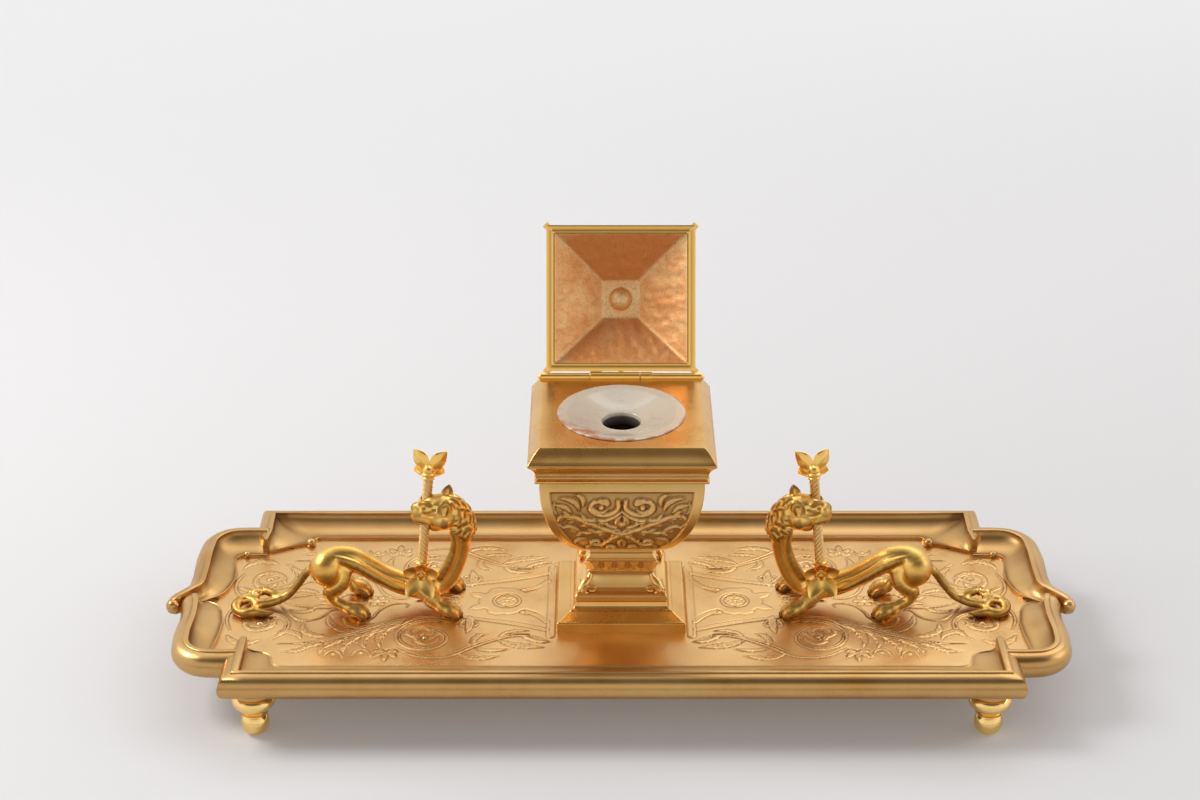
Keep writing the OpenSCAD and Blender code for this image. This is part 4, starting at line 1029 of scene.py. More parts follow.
# Pointed nail heads in a row on each side of the collar
def growNailHeads(count, half, level):
    inputs = {"Heads": count, "Half": half * 0.001, "Level": level * 0.001, "Wide": 0.0047, "Tall": 0.0046,
              "Deep": 0.0026, "Material": bowlGilding}
    wires = newTree("nailHeads", inputs)
    start = wires["start"]
    shape = {"Vertices": 4, "Radius Top": 0.0, "Radius Bottom": 1.0, "Depth": 1.0}
    cone = start.node("GeometryNodeMeshCone", {}, shape, "Mesh")
    cone = start.node("GeometryNodeTransform", {}, {"Geometry": cone, "Rotation": (0.0, 0.0, math.pi / 4)})
    cone = start.node("GeometryNodeTransform", {}, {"Geometry": cone, "Rotation": (math.pi / 2, 0.0, 0.0)})
    sides = {"X": wires["Wide"] * 0.7071, "Y": wires["Deep"], "Z": wires["Tall"] * 0.7071}
    size = start.node("ShaderNodeCombineXYZ", {}, sides)
    step = wires["Half"] * 2.0 / (wires["Heads"] + 0.35)
    place = {"X": step * (wires["Heads"] - 1.0) * -0.5, "Y": 0.0015 - wires["Half"], "Z": wires["Level"]}
    first = start.node("ShaderNodeCombineXYZ", {}, place)
    offset = start.node("ShaderNodeCombineXYZ", {}, {"X": step})
    row = start.node("GeometryNodeMeshLine", {}, {"Count": wires["Heads"], "Start Location": first, "Offset": offset})
    heads = start.node("GeometryNodeInstanceOnPoints", {}, {"Points": row, "Instance": cone, "Scale": size})
    sides = start.node("GeometryNodeJoinGeometry")
    for turn in range(4):
        turned = {"Geometry": heads, "Rotation": (0.0, 0.0, turn * math.pi / 2)}
        side = start.node("GeometryNodeTransform", {}, turned)
        start.tree.links.new(side.socket, sides.socket.node.inputs[0])
    closeTree(wires, sides, wires["Material"])
    return growMesh("nailHeads", wires, inputs, 20)


# Bowl and its scrollwork panels

bowl = {"half": 30.2, "middle": 4.0, "top": 89.4, "height": 39.4, "turn": 73.0, "frame": 3.6, "sink": 0.75,
        "carving": 1.3, "cell": 0.38, "rows": 124, "columns": 156, "lowEdge": 58.0, "highEdge": 4.5, "reach": 30,
        "drop": 46}


def bowlHalf(angle):
    return bowl["middle"] + (bowl["half"] - bowl["middle"]) * math.cos(math.radians(angle))


def bowlLevel(angle):
    return bowl["top"] - 1 - (bowl["height"] - 0.4) * math.sin(math.radians(angle))


# Right half of a panel: u from its middle, w is the drop from its top edge measured down the flank
def carvePanel(relief):
    h, relief.thin = bowl["carving"], 0.8
    relief.sprigs([(6.5, 18.2), (13, 14.4), (18.6, 11.2), (22.6, 11.4)], 6, 3.2, 1.0, h * 0.8)
    relief.sprigs([(-3.8, 24.2), (0, 21.4), (6.5, 18.2)], 4, 2.6, 0.9, h * 0.75)
    relief.sprigs([(0, 20.2), (7.4, 19.6), (14, 20.4), (18.8, 19.2)], 5, 2.6, 0.9, h * 0.75)
    # two stems that cross low in the middle and run out to the sides
    relief.stem([(-7.6, 30.2), (-3.8, 24.2), (0, 21.4), (6.5, 18.2), (13, 14.4), (18.6, 11.2), (22.6, 11.4),
                 (23.8, 14.8), (21.6, 17.0)],
                [0.5, 0.8, 1.0, 1.25, 1.3, 1.2, 0.9, 0.7, 0.4], h)
    relief.stem([(7.6, 30.2), (3.8, 24.2), (0, 21.4), (-3, 20)], [0.5, 0.8, 1.0, 0.9], h)
    relief.stem([(0, 20.2), (7.4, 19.6), (14, 20.4), (18.8, 19.2)], [0.4, 0.8, 0.8, 0.3], h * 0.8)
    relief.stem([(4.6, 15.8), (11.6, 13.2), (16.4, 13.0), (19.4, 14.8)], [0.3, 0.7, 0.8, 0.3], h * 0.85)
    relief.leaf([(15.4, 19.6), (17.6, 17.6), (20.0, 16.6), (22.4, 18.2)], 1.2, h * 0.85, 3)
    relief.leaf([(7.4, 18.0), (10.0, 16.2), (13.2, 15.6), (15.6, 17.0)], 1.1, h * 0.8, 3)
    # facing curls with buds at the top
    relief.curl((7.6, 6.6), 6.9, 2.2, 208, -150, [1.0, 1.25, 1.1, 0.8], h, 0.78)
    for row in ([(5.0, 8.0), (7.6, 9.2), (10.2, 8.0), (10.8, 5.6)],
                [(6.6, 6.2), (8.0, 4.4), (10.2, 4.2), (11.4, 5.4)], [(4.8, 6.4), (5.6, 4.2), (7.6, 3.4), (9.0, 3.8)]):
        relief.leaf(row, 1.15, h * 1.05, 2)
    relief.dot((7.6, 7.0), 1.3, h * 1.15)
    relief.stem([(0.0, 8.6), (2.8, 11.4), (7.0, 13.2), (10.4, 12.6)], [0.4, 0.9, 0.9, 0.4], h)
    # crest in the middle
    relief.leaf([(0, 17.4), (1.6, 14.8), (1.4, 12.4), (0, 10.6)], 1.5, h * 0.9, 2)
    relief.dot((0, 15.4), 1.5, h)
    relief.leaf([(1.2, 17.0), (4.0, 16.8), (5.6, 15.2), (5.4, 13.2)], 1.1, h * 0.9, 2)
    # leaves in the corners
    for row, width in (([(15.6, 8.8), (16.6, 5.6), (19.6, 3.4), (23.6, 2.6)], 1.4),
                       ([(18.4, 9.8), (20.6, 7.2), (23.4, 6.0), (25.4, 5.8)], 1.2),
                       ([(14.4, 6.8), (14.2, 3.8), (15.8, 1.8), (18.2, 1.4)], 1.2),
                       ([(23.6, 10.4), (25.0, 8.6), (25.2, 6.6), (24.6, 4.4)], 0.9)):
        relief.leaf(row, width, h * 0.85, 3)
    # small curls along the bottom
    relief.curl((9.4, 26.8), 3.4, 0.9, 200, -190, [0.5, 0.8, 0.7], h * 0.95, 0.85, 0.9)
    relief.curl((3.6, 31.6), 2.6, 0.8, 120, -220, [0.5, 0.75, 0.6], h * 0.95, 0.9, 0.8)
    relief.leaf([(12.6, 24.4), (15.2, 24.6), (17.2, 26.6), (17.4, 29.4)], 1.2, h * 0.85, 3)
    relief.leaf([(10.6, 29.6), (12.4, 31.4), (13.0, 34.0), (12.2, 36.4)], 1.1, h * 0.85, 3)
    relief.leaf([(0, 25.2), (0.9, 27.6), (0.7, 30.0), (0, 32.2)], 1.1, h * 0.85, 2)
    relief.leaf([(5.6, 34.6), (6.6, 36.6), (5.8, 38.6), (3.6, 39.4)], 1.0, h * 0.8, 2)
    relief.dot((0, 36.0), 1.4, h)


def makeBowl():
    angles = np.linspace(bowl["turn"], 0, bowl["rows"])
    rows = [(bowlHalf(bowl["turn"]) + 0.1, pedestal["collarTop"]),
            (bowlHalf(bowl["turn"]) + 0.25, pedestal["collarTop"] + 0.3)]
    rows += [(bowlHalf(a), bowlLevel(a)) for a in angles] + [(bowl["half"], bowl["top"])]
    drop = np.zeros(len(rows))
    for i in range(len(rows) - 2, -1, -1):
        drop[i] = drop[i + 1] + math.dist(rows[i], rows[i + 1])
    levels = [r[1] for r in rows]
    topDrop, lowDrop = (np.interp(bowlLevel(bowl[edge]), levels, drop) for edge in ("highEdge", "lowEdge"))
    cell, reach = bowl["cell"], bowl["reach"]
    u, w = np.arange(-reach, reach + cell, cell), np.arange(-1, bowl["drop"], cell)
    relief = Relief(u, w)
    carvePanel(relief)
    field = np.maximum(relief.raised, relief.raised[:, ::-1]) - np.maximum(relief.cut, relief.cut[:, ::-1]) * 0.9
    field = 0.75 * field + 0.25 * softened(field, 2)
    # how far a point lies inside the sunk frame
    halfAt = np.interp(w + topDrop, drop[::-1], [r[0] for r in rows][::-1]) - bowl["frame"]
    inset = np.minimum(np.minimum(halfAt[:, None] - np.abs(u)[None, :], w[:, None]), (lowDrop - topDrop) - w[:, None])
    sunk = np.clip(inset / 0.5, 0, 1) ** 0.7
    bead = 0.25 * np.clip(1 - np.abs(inset - 0.85) / 0.5, 0, 1)
    total = -bowl["sink"] * sunk + sunk * np.clip(field, -0.3, 9) * np.clip(inset / 1.2, 0.15, 1) + bead * 0.5
    hollow = hollowsOf(total, 6, 0.3) * np.clip(inset + 0.5, 0, 1)
    # painted shade: the sunk ground of the panels and the hollows of the carving are marked to turn darker
    recessShade = (0.35 * np.clip(-total / 0.5, 0, 1) + hollow).clip(0, 1)

    def lookUp(table, across, down):
        i, k = (down - topDrop + 1) / cell, (across + reach) / cell
        i0, k0 = min(max(int(i), 0), table.shape[0] - 2), min(max(int(k), 0), table.shape[1] - 2)
        lower, beyond = min(max(i - i0, 0), 1), min(max(k - k0, 0), 1)
        upperValue, lowerValue = (row[k0] * (1 - beyond) + row[k0 + 1] * beyond for row in table[i0:i0 + 2])
        return upperValue * (1 - lower) + lowerValue * lower

    marks = []

    def rise(across, row):
        marks.append(lookUp(recessShade, across, drop[row]))
        return lookUp(total, across, drop[row])

    mesh = squareMesh("bowl", rows, 0.5, 0, bowl["columns"], 60, rise, marks=marks)
    makePiece("bowl", mesh, "stand", bowlGilding, ["well_bowl"])


# Cornice

cornice = {"height": 14.1, "lip": 68.6, "top": 59.8, "bore": 20.3, "boreDepth": 12, "cupY": -0.9, "across": 12}


def makeCornice():
    b, l, t = bowl["half"], cornice["lip"] / 2, cornice["top"] / 2
    z0, z1 = bowl["top"], bowl["top"] + cornice["height"]
    tall = cornice["height"]
    moulding = ((0, 0), (1.1, 0.08), (1.55, 0.35), (1.7, 0.75), (1.55, 1.15), (1.15, 1.4), (0.75, 1.55), (0.7, 2.1),
                (1.35, 2.2), (1.45, 2.7), (1.3, 2.85))
    rows = [(b + out, z0 + up) for out, up in moulding]
    rows += [(between(b + 1.2, l - 0.3, s ** 1.7), between(z0 + 2.9, z0 + 0.54 * tall, s ** 0.85))
             for s in np.linspace(0.12, 1, 9)]
    rows += [(l, z0 + 0.565 * tall), (l, z0 + 0.63 * tall), (l - 0.45, z0 + 0.665 * tall)]
    rows += [(between(l - 0.6, t, s), between(z0 + 0.68 * tall, z1, s) + 0.5 * math.sin(math.pi * s))
             for s in np.linspace(0.1, 0.96, 6)]
    rows += [(t, z1), (t - 1.5, z1)]
    across = cornice["across"]
    mesh = squareMesh("cornice", rows, 0.35, 0.18, across, 45, caps=False)
    # flat top between the square edge and the round bore
    around = 4 * (across + 3)
    centre = np.array([0, cornice["cupY"]])
    rings = []
    for share in (0.0, 0.15, 0.4, 0.7, 1.0):
        for vertex in mesh.vertices[-around:]:
            p = np.array(vertex.co)[:2] * 1000
            way = (p - centre) / np.linalg.norm(p - centre)
            rings.append((*between(p, centre + way * cornice["bore"], share), z1))
    rings += [(x, y, z1 - cornice["boreDepth"]) for x, y, _ in rings[-around:]]
    plate = makeMesh("plate", rings, gridFaces(6, around), 40)
    mesh = joinMeshes("cornice", [mesh, plate], 40)
    makePiece("cornice", markHollows(mesh, 0.2), "stand", plateGilding, ["well_cornice"])


makePedestal()
makeBowl()
makeCornice()
print("pedestal, bowl and cornice made")


# Ink cup

cup = {"flange": 47.7, "body": 19.9, "dip": 7.0, "rimTop": 104.1, "plate": 103.5, "funnel": 4.8, "wall": 2.6,
       "floor": 66.5, "stainTurn": (-128, 52), "lowerTurn": (-75, 60)}


def makeCup():
    rim, body, dip, top = cup["flange"] / 2, cup["body"], cup["dip"], cup["rimTop"]
    throat, inside = top - cup["funnel"], cup["body"] - cup["wall"]
    floor, plate = cup["floor"], cup["plate"]
    rows = [(0.1, floor), (body - 1.5, floor), (body - 0.4, floor + 0.4), (body, floor + 1.5), (body, plate),
            (rim - 0.25, plate), (rim - 0.02, plate + 0.12), (rim, plate + 0.3), (rim - 0.15, top - 0.1),
            (rim - 0.5, top), (rim - 0.9, top - 0.02), (rim - 1.6, top - 0.1), (body + 0.8, top - 0.26)]
    rows += [(between(dip + 0.5, body + 0.2, s), between(throat + 0.75, top - 0.36, s ** 1.25))
             for s in np.linspace(1, 0.06, 24)]
    rows += [(dip + 0.75, throat + 0.95), (dip + 0.4, throat + 0.7), (dip + 0.22, throat + 0.1),
             (dip + 0.02, throat - 0.2), (dip, throat - 0.8), (dip, throat - 4), (dip + 1.2, throat - 5.2),
             (inside, throat - 7.5), (inside, floor + 4.1), (inside - 1.5, floor + 2.6), (0.1, floor + 2.6)]
    mesh = latheMesh("inkCup", rows, 0, 128, 50)
    x, y, z = (valuesOf(mesh, "co") * 1000).T
    radius, angle = np.hypot(x, y), np.degrees(np.arctan2(y, x))

    # a stain is strongest at one angle and fades out to each side of it
    def stainAt(turn, wide):
        return np.clip(1 - np.abs((angle - turn + 180) % 360 - 180) / wide, 0, 1)

    side, lower, above = stainAt(*cup["stainTurn"]), stainAt(*cup["lowerTurn"]), z > throat
    stain = side * np.clip((radius - 12) / 8, 0, 1) * above * 0.95
    stain += lower * np.clip((10.5 - radius) / 3, 0, 1) * 0.35 * above
    stain += np.clip((radius - 22.9) / 0.5, 0, 1) * (0.35 + 0.4 * lower)
    inkDepth = np.clip((throat + 0.35 - z) / 1.4, 0, 1) * (radius < inside + 0.1)
    markMesh(mesh, "stain", stain)
    markMesh(mesh, "ink", inkDepth)
    makePiece("inkCup", turnMesh(mesh, shift(0, cornice["cupY"])), "ink_cup", creamGlaze,
              ["ink_cup"])


makeCup()
print("ink cup thrown")


# Hinge and lid

hinge = {"y": 30.0, "z": 103.9, "bar": 3.0, "barrel": 3.8, "barrelLength": 24.0, "knuckle": 4.6, "end": 30.5,
         "open": 115.0}
lid = {"width": 57.2, "depth": 56.0, "rim": 5.2, "border": 3.2, "hollow": 14.0, "wall": 1.8, "seat": 14.6,
       "low": -0.3, "back": 2.2, "step": 1.2, "ball": 6.4, "dome": 4.35, "stud": 3.0}
hingeAxis = shift(0, hinge["y"], hinge["z"])
openedLid = hingeAxis @ Matrix.Rotation(math.radians(-hinge["open"]), 4, "X")
lidMiddle = -lid["back"] - lid["depth"] / 2


# Turned bar along the hinge axis: rows are (radius, x)
def axisBar(name, rows, around=40):
    return turnMesh(latheMesh(name, rows, 0, around), hingeAxis @ Matrix.Rotation(math.pi / 2, 4, "Y"))


# Outline of a knuckle with eased ends, from first to last along the axis
def knuckleRows(first, last, over=0.0):
    k = hinge["barrel"] / 2
    return [(k - 0.3, first), (k - 0.05, first + 0.12), (k, first + 0.35), (k, last - 0.35), (k - 0.05, last - 0.12),
            (k - 0.3, last + over)]


def makeHinge():
    r, half, end = hinge["bar"] / 2, hinge["barrelLength"] / 2, hinge["end"]
    right = [(r, half + 0.02), (r, half + 0.5), (r, end - 0.2)] + arcRows(r, end, np.arange(0, 86, 12))
    parts = [axisBar("bar", right), axisBar("knuckle", knuckleRows(half - hinge["knuckle"], half, 0.03)),
             axisBar("bar", [(a, -b) for a, b in reversed(right)])]
    makePiece("hingeBar", markHollows(joinMeshes("hingeBar", parts)), "stand", burnishedGilding,
              ["hinge_bar"])


def makeLid():
    w, d, low, seat = lid["width"] / 2, lid["depth"] / 2, lid["low"], lid["seat"] / 2
    iw, idp = w - lid["border"], d - lid["border"]
    roof, wall = low + lid["hollow"] + lid["wall"], lid["wall"]
    crown = seat + wall + 1
    # outside: from the edge of the hollow, round the rim and over the pyramid
    border = ((0.02, lid["step"] + 0.3), (0, 0.5), (0.12, 0.1), (0.4, 0), (0.9, 0.02), (1.1, 0.14), (1.3, 0.02))
    rows = [(iw + out, idp + out, low + up) for out, up in border]
    rows += [(w - inset, d - inset, low + up) for inset, up in ((0.4, 0), (0.08, 0.1), (0, 0.4))]
    moulding = ((0, 0.28), (0.12, 0.32), (0.7, 0.38), (0.75, 0.6), (0.6, 0.85), (0.75, 0.97), (1.2, 1))
    rows += [(w - inset, d - inset, low + lid["rim"] * share) for inset, share in moulding]
    base = (w - 1.8, d - 1.8, low + lid["rim"] + 0.1)
    for s in np.linspace(0, 1, 12):
        sag = -0.35 * math.sin(math.pi * s)
        half, deep = (between(edge, crown, s) + sag * 0.3 for edge in base[:2])
        rows.append((half, deep, between(base[2], roof, s) + sag))
    block = ((0, 0.1), (0.1, 0.4), (0, 1.5), (-0.3, 1.7), (-0.9, 2.35), (-1.4, 2.4))
    rows += [(crown + out, crown + out, roof + up) for out, up in block]
    rows += [(half, half, roof + 2.4) for half in (2.6, 0.3)]
    rings = []
    for half, deep, z in rows:
        rings += squareRing(half, deep, min(0.5, half * 0.5), z, lidMiddle)
    faces = tubeFaces(len(rows), 28)
    parts = [makeMesh("shell", rings, faces[:-2] + faces[-1:], 35)]
    half = hinge["barrelLength"] / 2
    barrel = latheMesh("barrel", knuckleRows(-half + 0.15, half - hinge["knuckle"] - 0.15), 0, 40)
    parts.append(turnMesh(barrel, Matrix.Rotation(math.pi / 2, 4, "Y")))
    for x, long in ((-half + 0.15, hinge["knuckle"] - 0.15), (-0.8, 1.6)):
        corners = ((-3.4, 1.15), (-1.2, 1.15), (-1.2, 2.6), (-3.4, 2.6))
        box = [(x + long * i, y, z) for i in (0, 1) for y, z in corners]
        parts.append(makeMesh("web", box, tubeFaces(2, 4), 30, outward=True))
    mesh = turnMesh(markHollows(joinMeshes("lidShell", parts, 35), 0.2), openedLid)
    makePiece("lidShell", mesh, "lid", burnishedGilding, ["lid"])

    # inside: a beaten hollow with four ridges, on a grid that follows its edges
    cells = 92
    steps = np.linspace(-1, 1, cells + 1)
    gx, gy = np.meshgrid(steps, steps)
    reach = np.maximum(np.abs(gx), np.abs(gy))
    slope = np.clip((1 - reach) / (1 - seat / iw), 0, 1)
    seeded = np.random.default_rng(7)
    lumps = softened(seeded.normal(size=gx.shape), 10)
    fine = softened(seeded.normal(size=gx.shape), 2)
    ridge = np.abs(np.abs(gx) - np.abs(gy))
    flank = np.clip(ridge / 0.1, 0, 1) * np.clip(slope * 8, 0, 1) * np.clip((1 - slope) * 8, 0, 1)
    level = low + lid["step"] + (lid["hollow"] - lid["step"]) * slope
    level = level + flank * (0.6 * lumps / np.abs(lumps).max() + 0.12 * fine / np.abs(fine).max())
    level = level - 0.25 * np.clip(1 - ridge / 0.03, 0, 1) * (slope < 1) * (slope > 0)
    # the seat stays square although the hollow is deeper one way
    seatShare = np.clip((reach - seat / iw) / (1 - seat / iw), 0, 1)
    points = np.stack([gx * iw, lidMiddle + gy * (iw * (1 - seatShare) + idp * seatShare), level], -1)
    # the stain mark is stain between the ridges, and painted shade: shade makes the faces across the lid's depth
    # browner than the side faces, one more than the other, as light falls on them
    stain = np.clip(ridge / 0.05, 0.1, 1) * np.clip(slope * 30, 0, 1) * np.where(slope >= 1, 0.25, 1)
    shade = np.where(np.abs(gy) > np.abs(gx), 0.85 - 0.15 * np.sign(gy), 0.45)
    faces = gridFaces(cells + 1, cells + 1, closed=False, flip=True)
    mesh = makeMesh("lidHollow", points.reshape(-1, 3), faces, 40, {"stain": (stain * shade).reshape(-1)})
    makePiece("lidHollow", turnMesh(mesh, openedLid), "lid", hammeredHollow)

    # ball outside, domed nut inside, pointed studs on the corners
    r = lid["ball"] / 2
    rows = [(r * 0.9, 0), (r * 0.95, 0.4), (r * 0.85, 0.85), (r * 0.5, 1.2), (r * 0.45, 1.5)]
    rows += arcRows(r, 1.6 + r * 0.87, np.arange(-56, 90, 8))
    ball = turnMesh(latheMesh("ball", rows, 0, 48), openedLid @ shift(0, lidMiddle, roof + 2.4))
    makePiece("lidBall", ball, "lid", burnishedGilding, ["lid_finial"])
    r = lid["dome"]
    rows = [(r + 0.25, 0), (r + 0.3, 0.35), (r, 0.6)] + arcRows(r, 0.6, np.arange(6, 90, 7), r * 0.75)
    inward = shift(0, lidMiddle, low + lid["hollow"] + 0.4) @ Matrix.Rotation(math.pi, 4, "X")
    nut = turnMesh(latheMesh("dome", rows, 0, 48), openedLid @ inward)
    makePiece("lidNut", nut, "lid", hammeredHollow, ["finial_nut"])
    c = lid["stud"] * 0.42
    rows = [(c * 1.414, 0), (c * 1.414, 0.7), (c * 1.3, 0.85), (c * 0.5, 1.7), (0.1, 2.1)]
    studs = []
    for sx, sy in ((-1, -1), (-1, 1), (1, -1), (1, 1)):
        corner = shift(sx * (w - 0.3), lidMiddle + sy * (d - 0.3), low + lid["rim"])
        studs.append(turnMesh(latheMesh("stud", rows, 0, 4, 20), corner))
    mesh = turnMesh(joinMeshes("cornerStuds", studs, 20), openedLid)
    makePiece("cornerStuds", mesh, "lid", burnishedGilding, ["lid_corner_studs"])


makeHinge()
makeLid()
print("hinge and lid made")

# Beasts

beast = {"x": 59.6, "z": 22.2, "cell": 0.4, "rod": (76.0, -8.0, 39.2), "rodTilt": (-13.0, -5.02), "rodLength": 40.0,
         "rodRadius": 1.9}


class Clay:  # soft lump: each cell of a grid holds its distance from the surface
    def __init__(self, low, high, cell):
        self.cell = cell
        self.axes = [np.arange(a, b + cell, cell, dtype=np.float32) for a, b in zip(low, high)]
        self.field = np.full([len(a) for a in self.axes], 9.0, np.float32)

    def window(self, rows, margin):
        low, high = (rows[:, :3] - rows[:, 3:4]).min(0) - margin, (rows[:, :3] + rows[:, 3:4]).max(0) + margin
        spans = []
        for l, h, axis in zip(low, high, self.axes):
            first, last = int((l - axis[0]) / self.cell), int((h - axis[0]) / self.cell) + 2
            spans.append(slice(max(first, 0), min(max(last, 0), len(axis))))
        return tuple(spans)

    def distance(self, rows, flat):
        area = self.window(rows, 3.0)
        best = np.full([s.stop - s.start for s in area], 9.0, np.float32)
        for a, b in zip(rows[:-1], rows[1:]):
            part = self.window(np.array([a, b]), 3.0)
            inner = tuple(slice(p.start - s.start, p.stop - s.start) for p, s in zip(part, area))
            run = (b - a)[:3]
            gap = [axis[p] - c for axis, p, c in zip(self.axes, part, a)]
            px, py, pz = gap[0][:, None, None], gap[1][None, :, None], gap[2][None, None, :]
            t = np.clip((px * run[0] + py * run[1] + pz * run[2]) / max(float(run @ run), 1e-6), 0, 1)
            dx, dy, dz = px - t * run[0], (py - t * run[1]) * flat, pz - t * run[2]
            best[inner] = np.minimum(best[inner], np.sqrt(dx * dx + dy * dy + dz * dz) - (a[3] + t * (b[3] - a[3])))
        return area, best

    # Cells near a tapered stroke through the points, and their distance from it
    def stroke(self, points, steps, flat=1.0):
        rows = np.asarray(points, float)
        if len(rows) == 1:
            rows = np.vstack([rows, rows + [0.01, 0, 0, 0]])
        return self.distance(smoothRows(rows, steps) if len(rows) > 2 else rows, flat)

    def add(self, points, blend=1.5, steps=4, flat=1.0):
        area, near = self.stroke(points, steps, flat)
        held = self.field[area]
        share = np.maximum(blend - np.abs(held - near), 0) / blend
        self.field[area] = np.minimum(held, near) - share * share * blend * 0.25

    def take(self, points, blend=0.5, steps=4):
        area, near = self.stroke(points, steps)
        held = self.field[area]
        share = np.maximum(blend - np.abs(held + near), 0) / blend
        self.field[area] = np.maximum(held, -near) + share * share * blend * 0.25

    # Skin of the clay: one point for each cell that the surface crosses
    def skin(self):
        field = self.field
        shape = np.array(field.shape) - 1
        total = int(shape.prod())
        weight, places, quads = np.zeros(total), np.zeros((total, 3)), []
        stride = np.array([shape[1] * shape[2], shape[2], 1])
        for axis in range(3):
            upper, lower = [slice(None)] * 3, [slice(None)] * 3
            upper[axis], lower[axis] = slice(1, None), slice(None, -1)
            a, b = field[tuple(lower)], field[tuple(upper)]
            at = np.argwhere((a < 0) != (b < 0))
            sides = [k for k in range(3) if k != axis]
            at = at[np.all([(at[:, k] > 0) & (at[:, k] < shape[k]) for k in sides], axis=0)]
            va, vb = a[tuple(at.T)], b[tuple(at.T)]
            place = at.astype(float)
            place[:, axis] += va / (va - vb)
            ring = []
            for du, dv in ((0, 0), (1, 0), (1, 1), (0, 1)):
                cells = at.copy()
                cells[:, sides[0]] -= du
                cells[:, sides[1]] -= dv
                index = cells @ stride
                weight += np.bincount(index, minlength=total)
                for k in range(3):
                    places[:, k] += np.bincount(index, place[:, k], minlength=total)
                ring.append(index)
            ring = np.stack(ring, 1)
            turned = (va < 0) != (axis == 1)
            quads.append(np.where(turned[:, None], ring[:, ::-1], ring))
        quads = np.vstack(quads)
        used = np.flatnonzero(weight)
        renumber = np.zeros(total, int)
        renumber[used] = np.arange(len(used))
        points = places[used] / weight[used][:, None] * self.cell + [a[0] for a in self.axes]
        return points, renumber[quads]


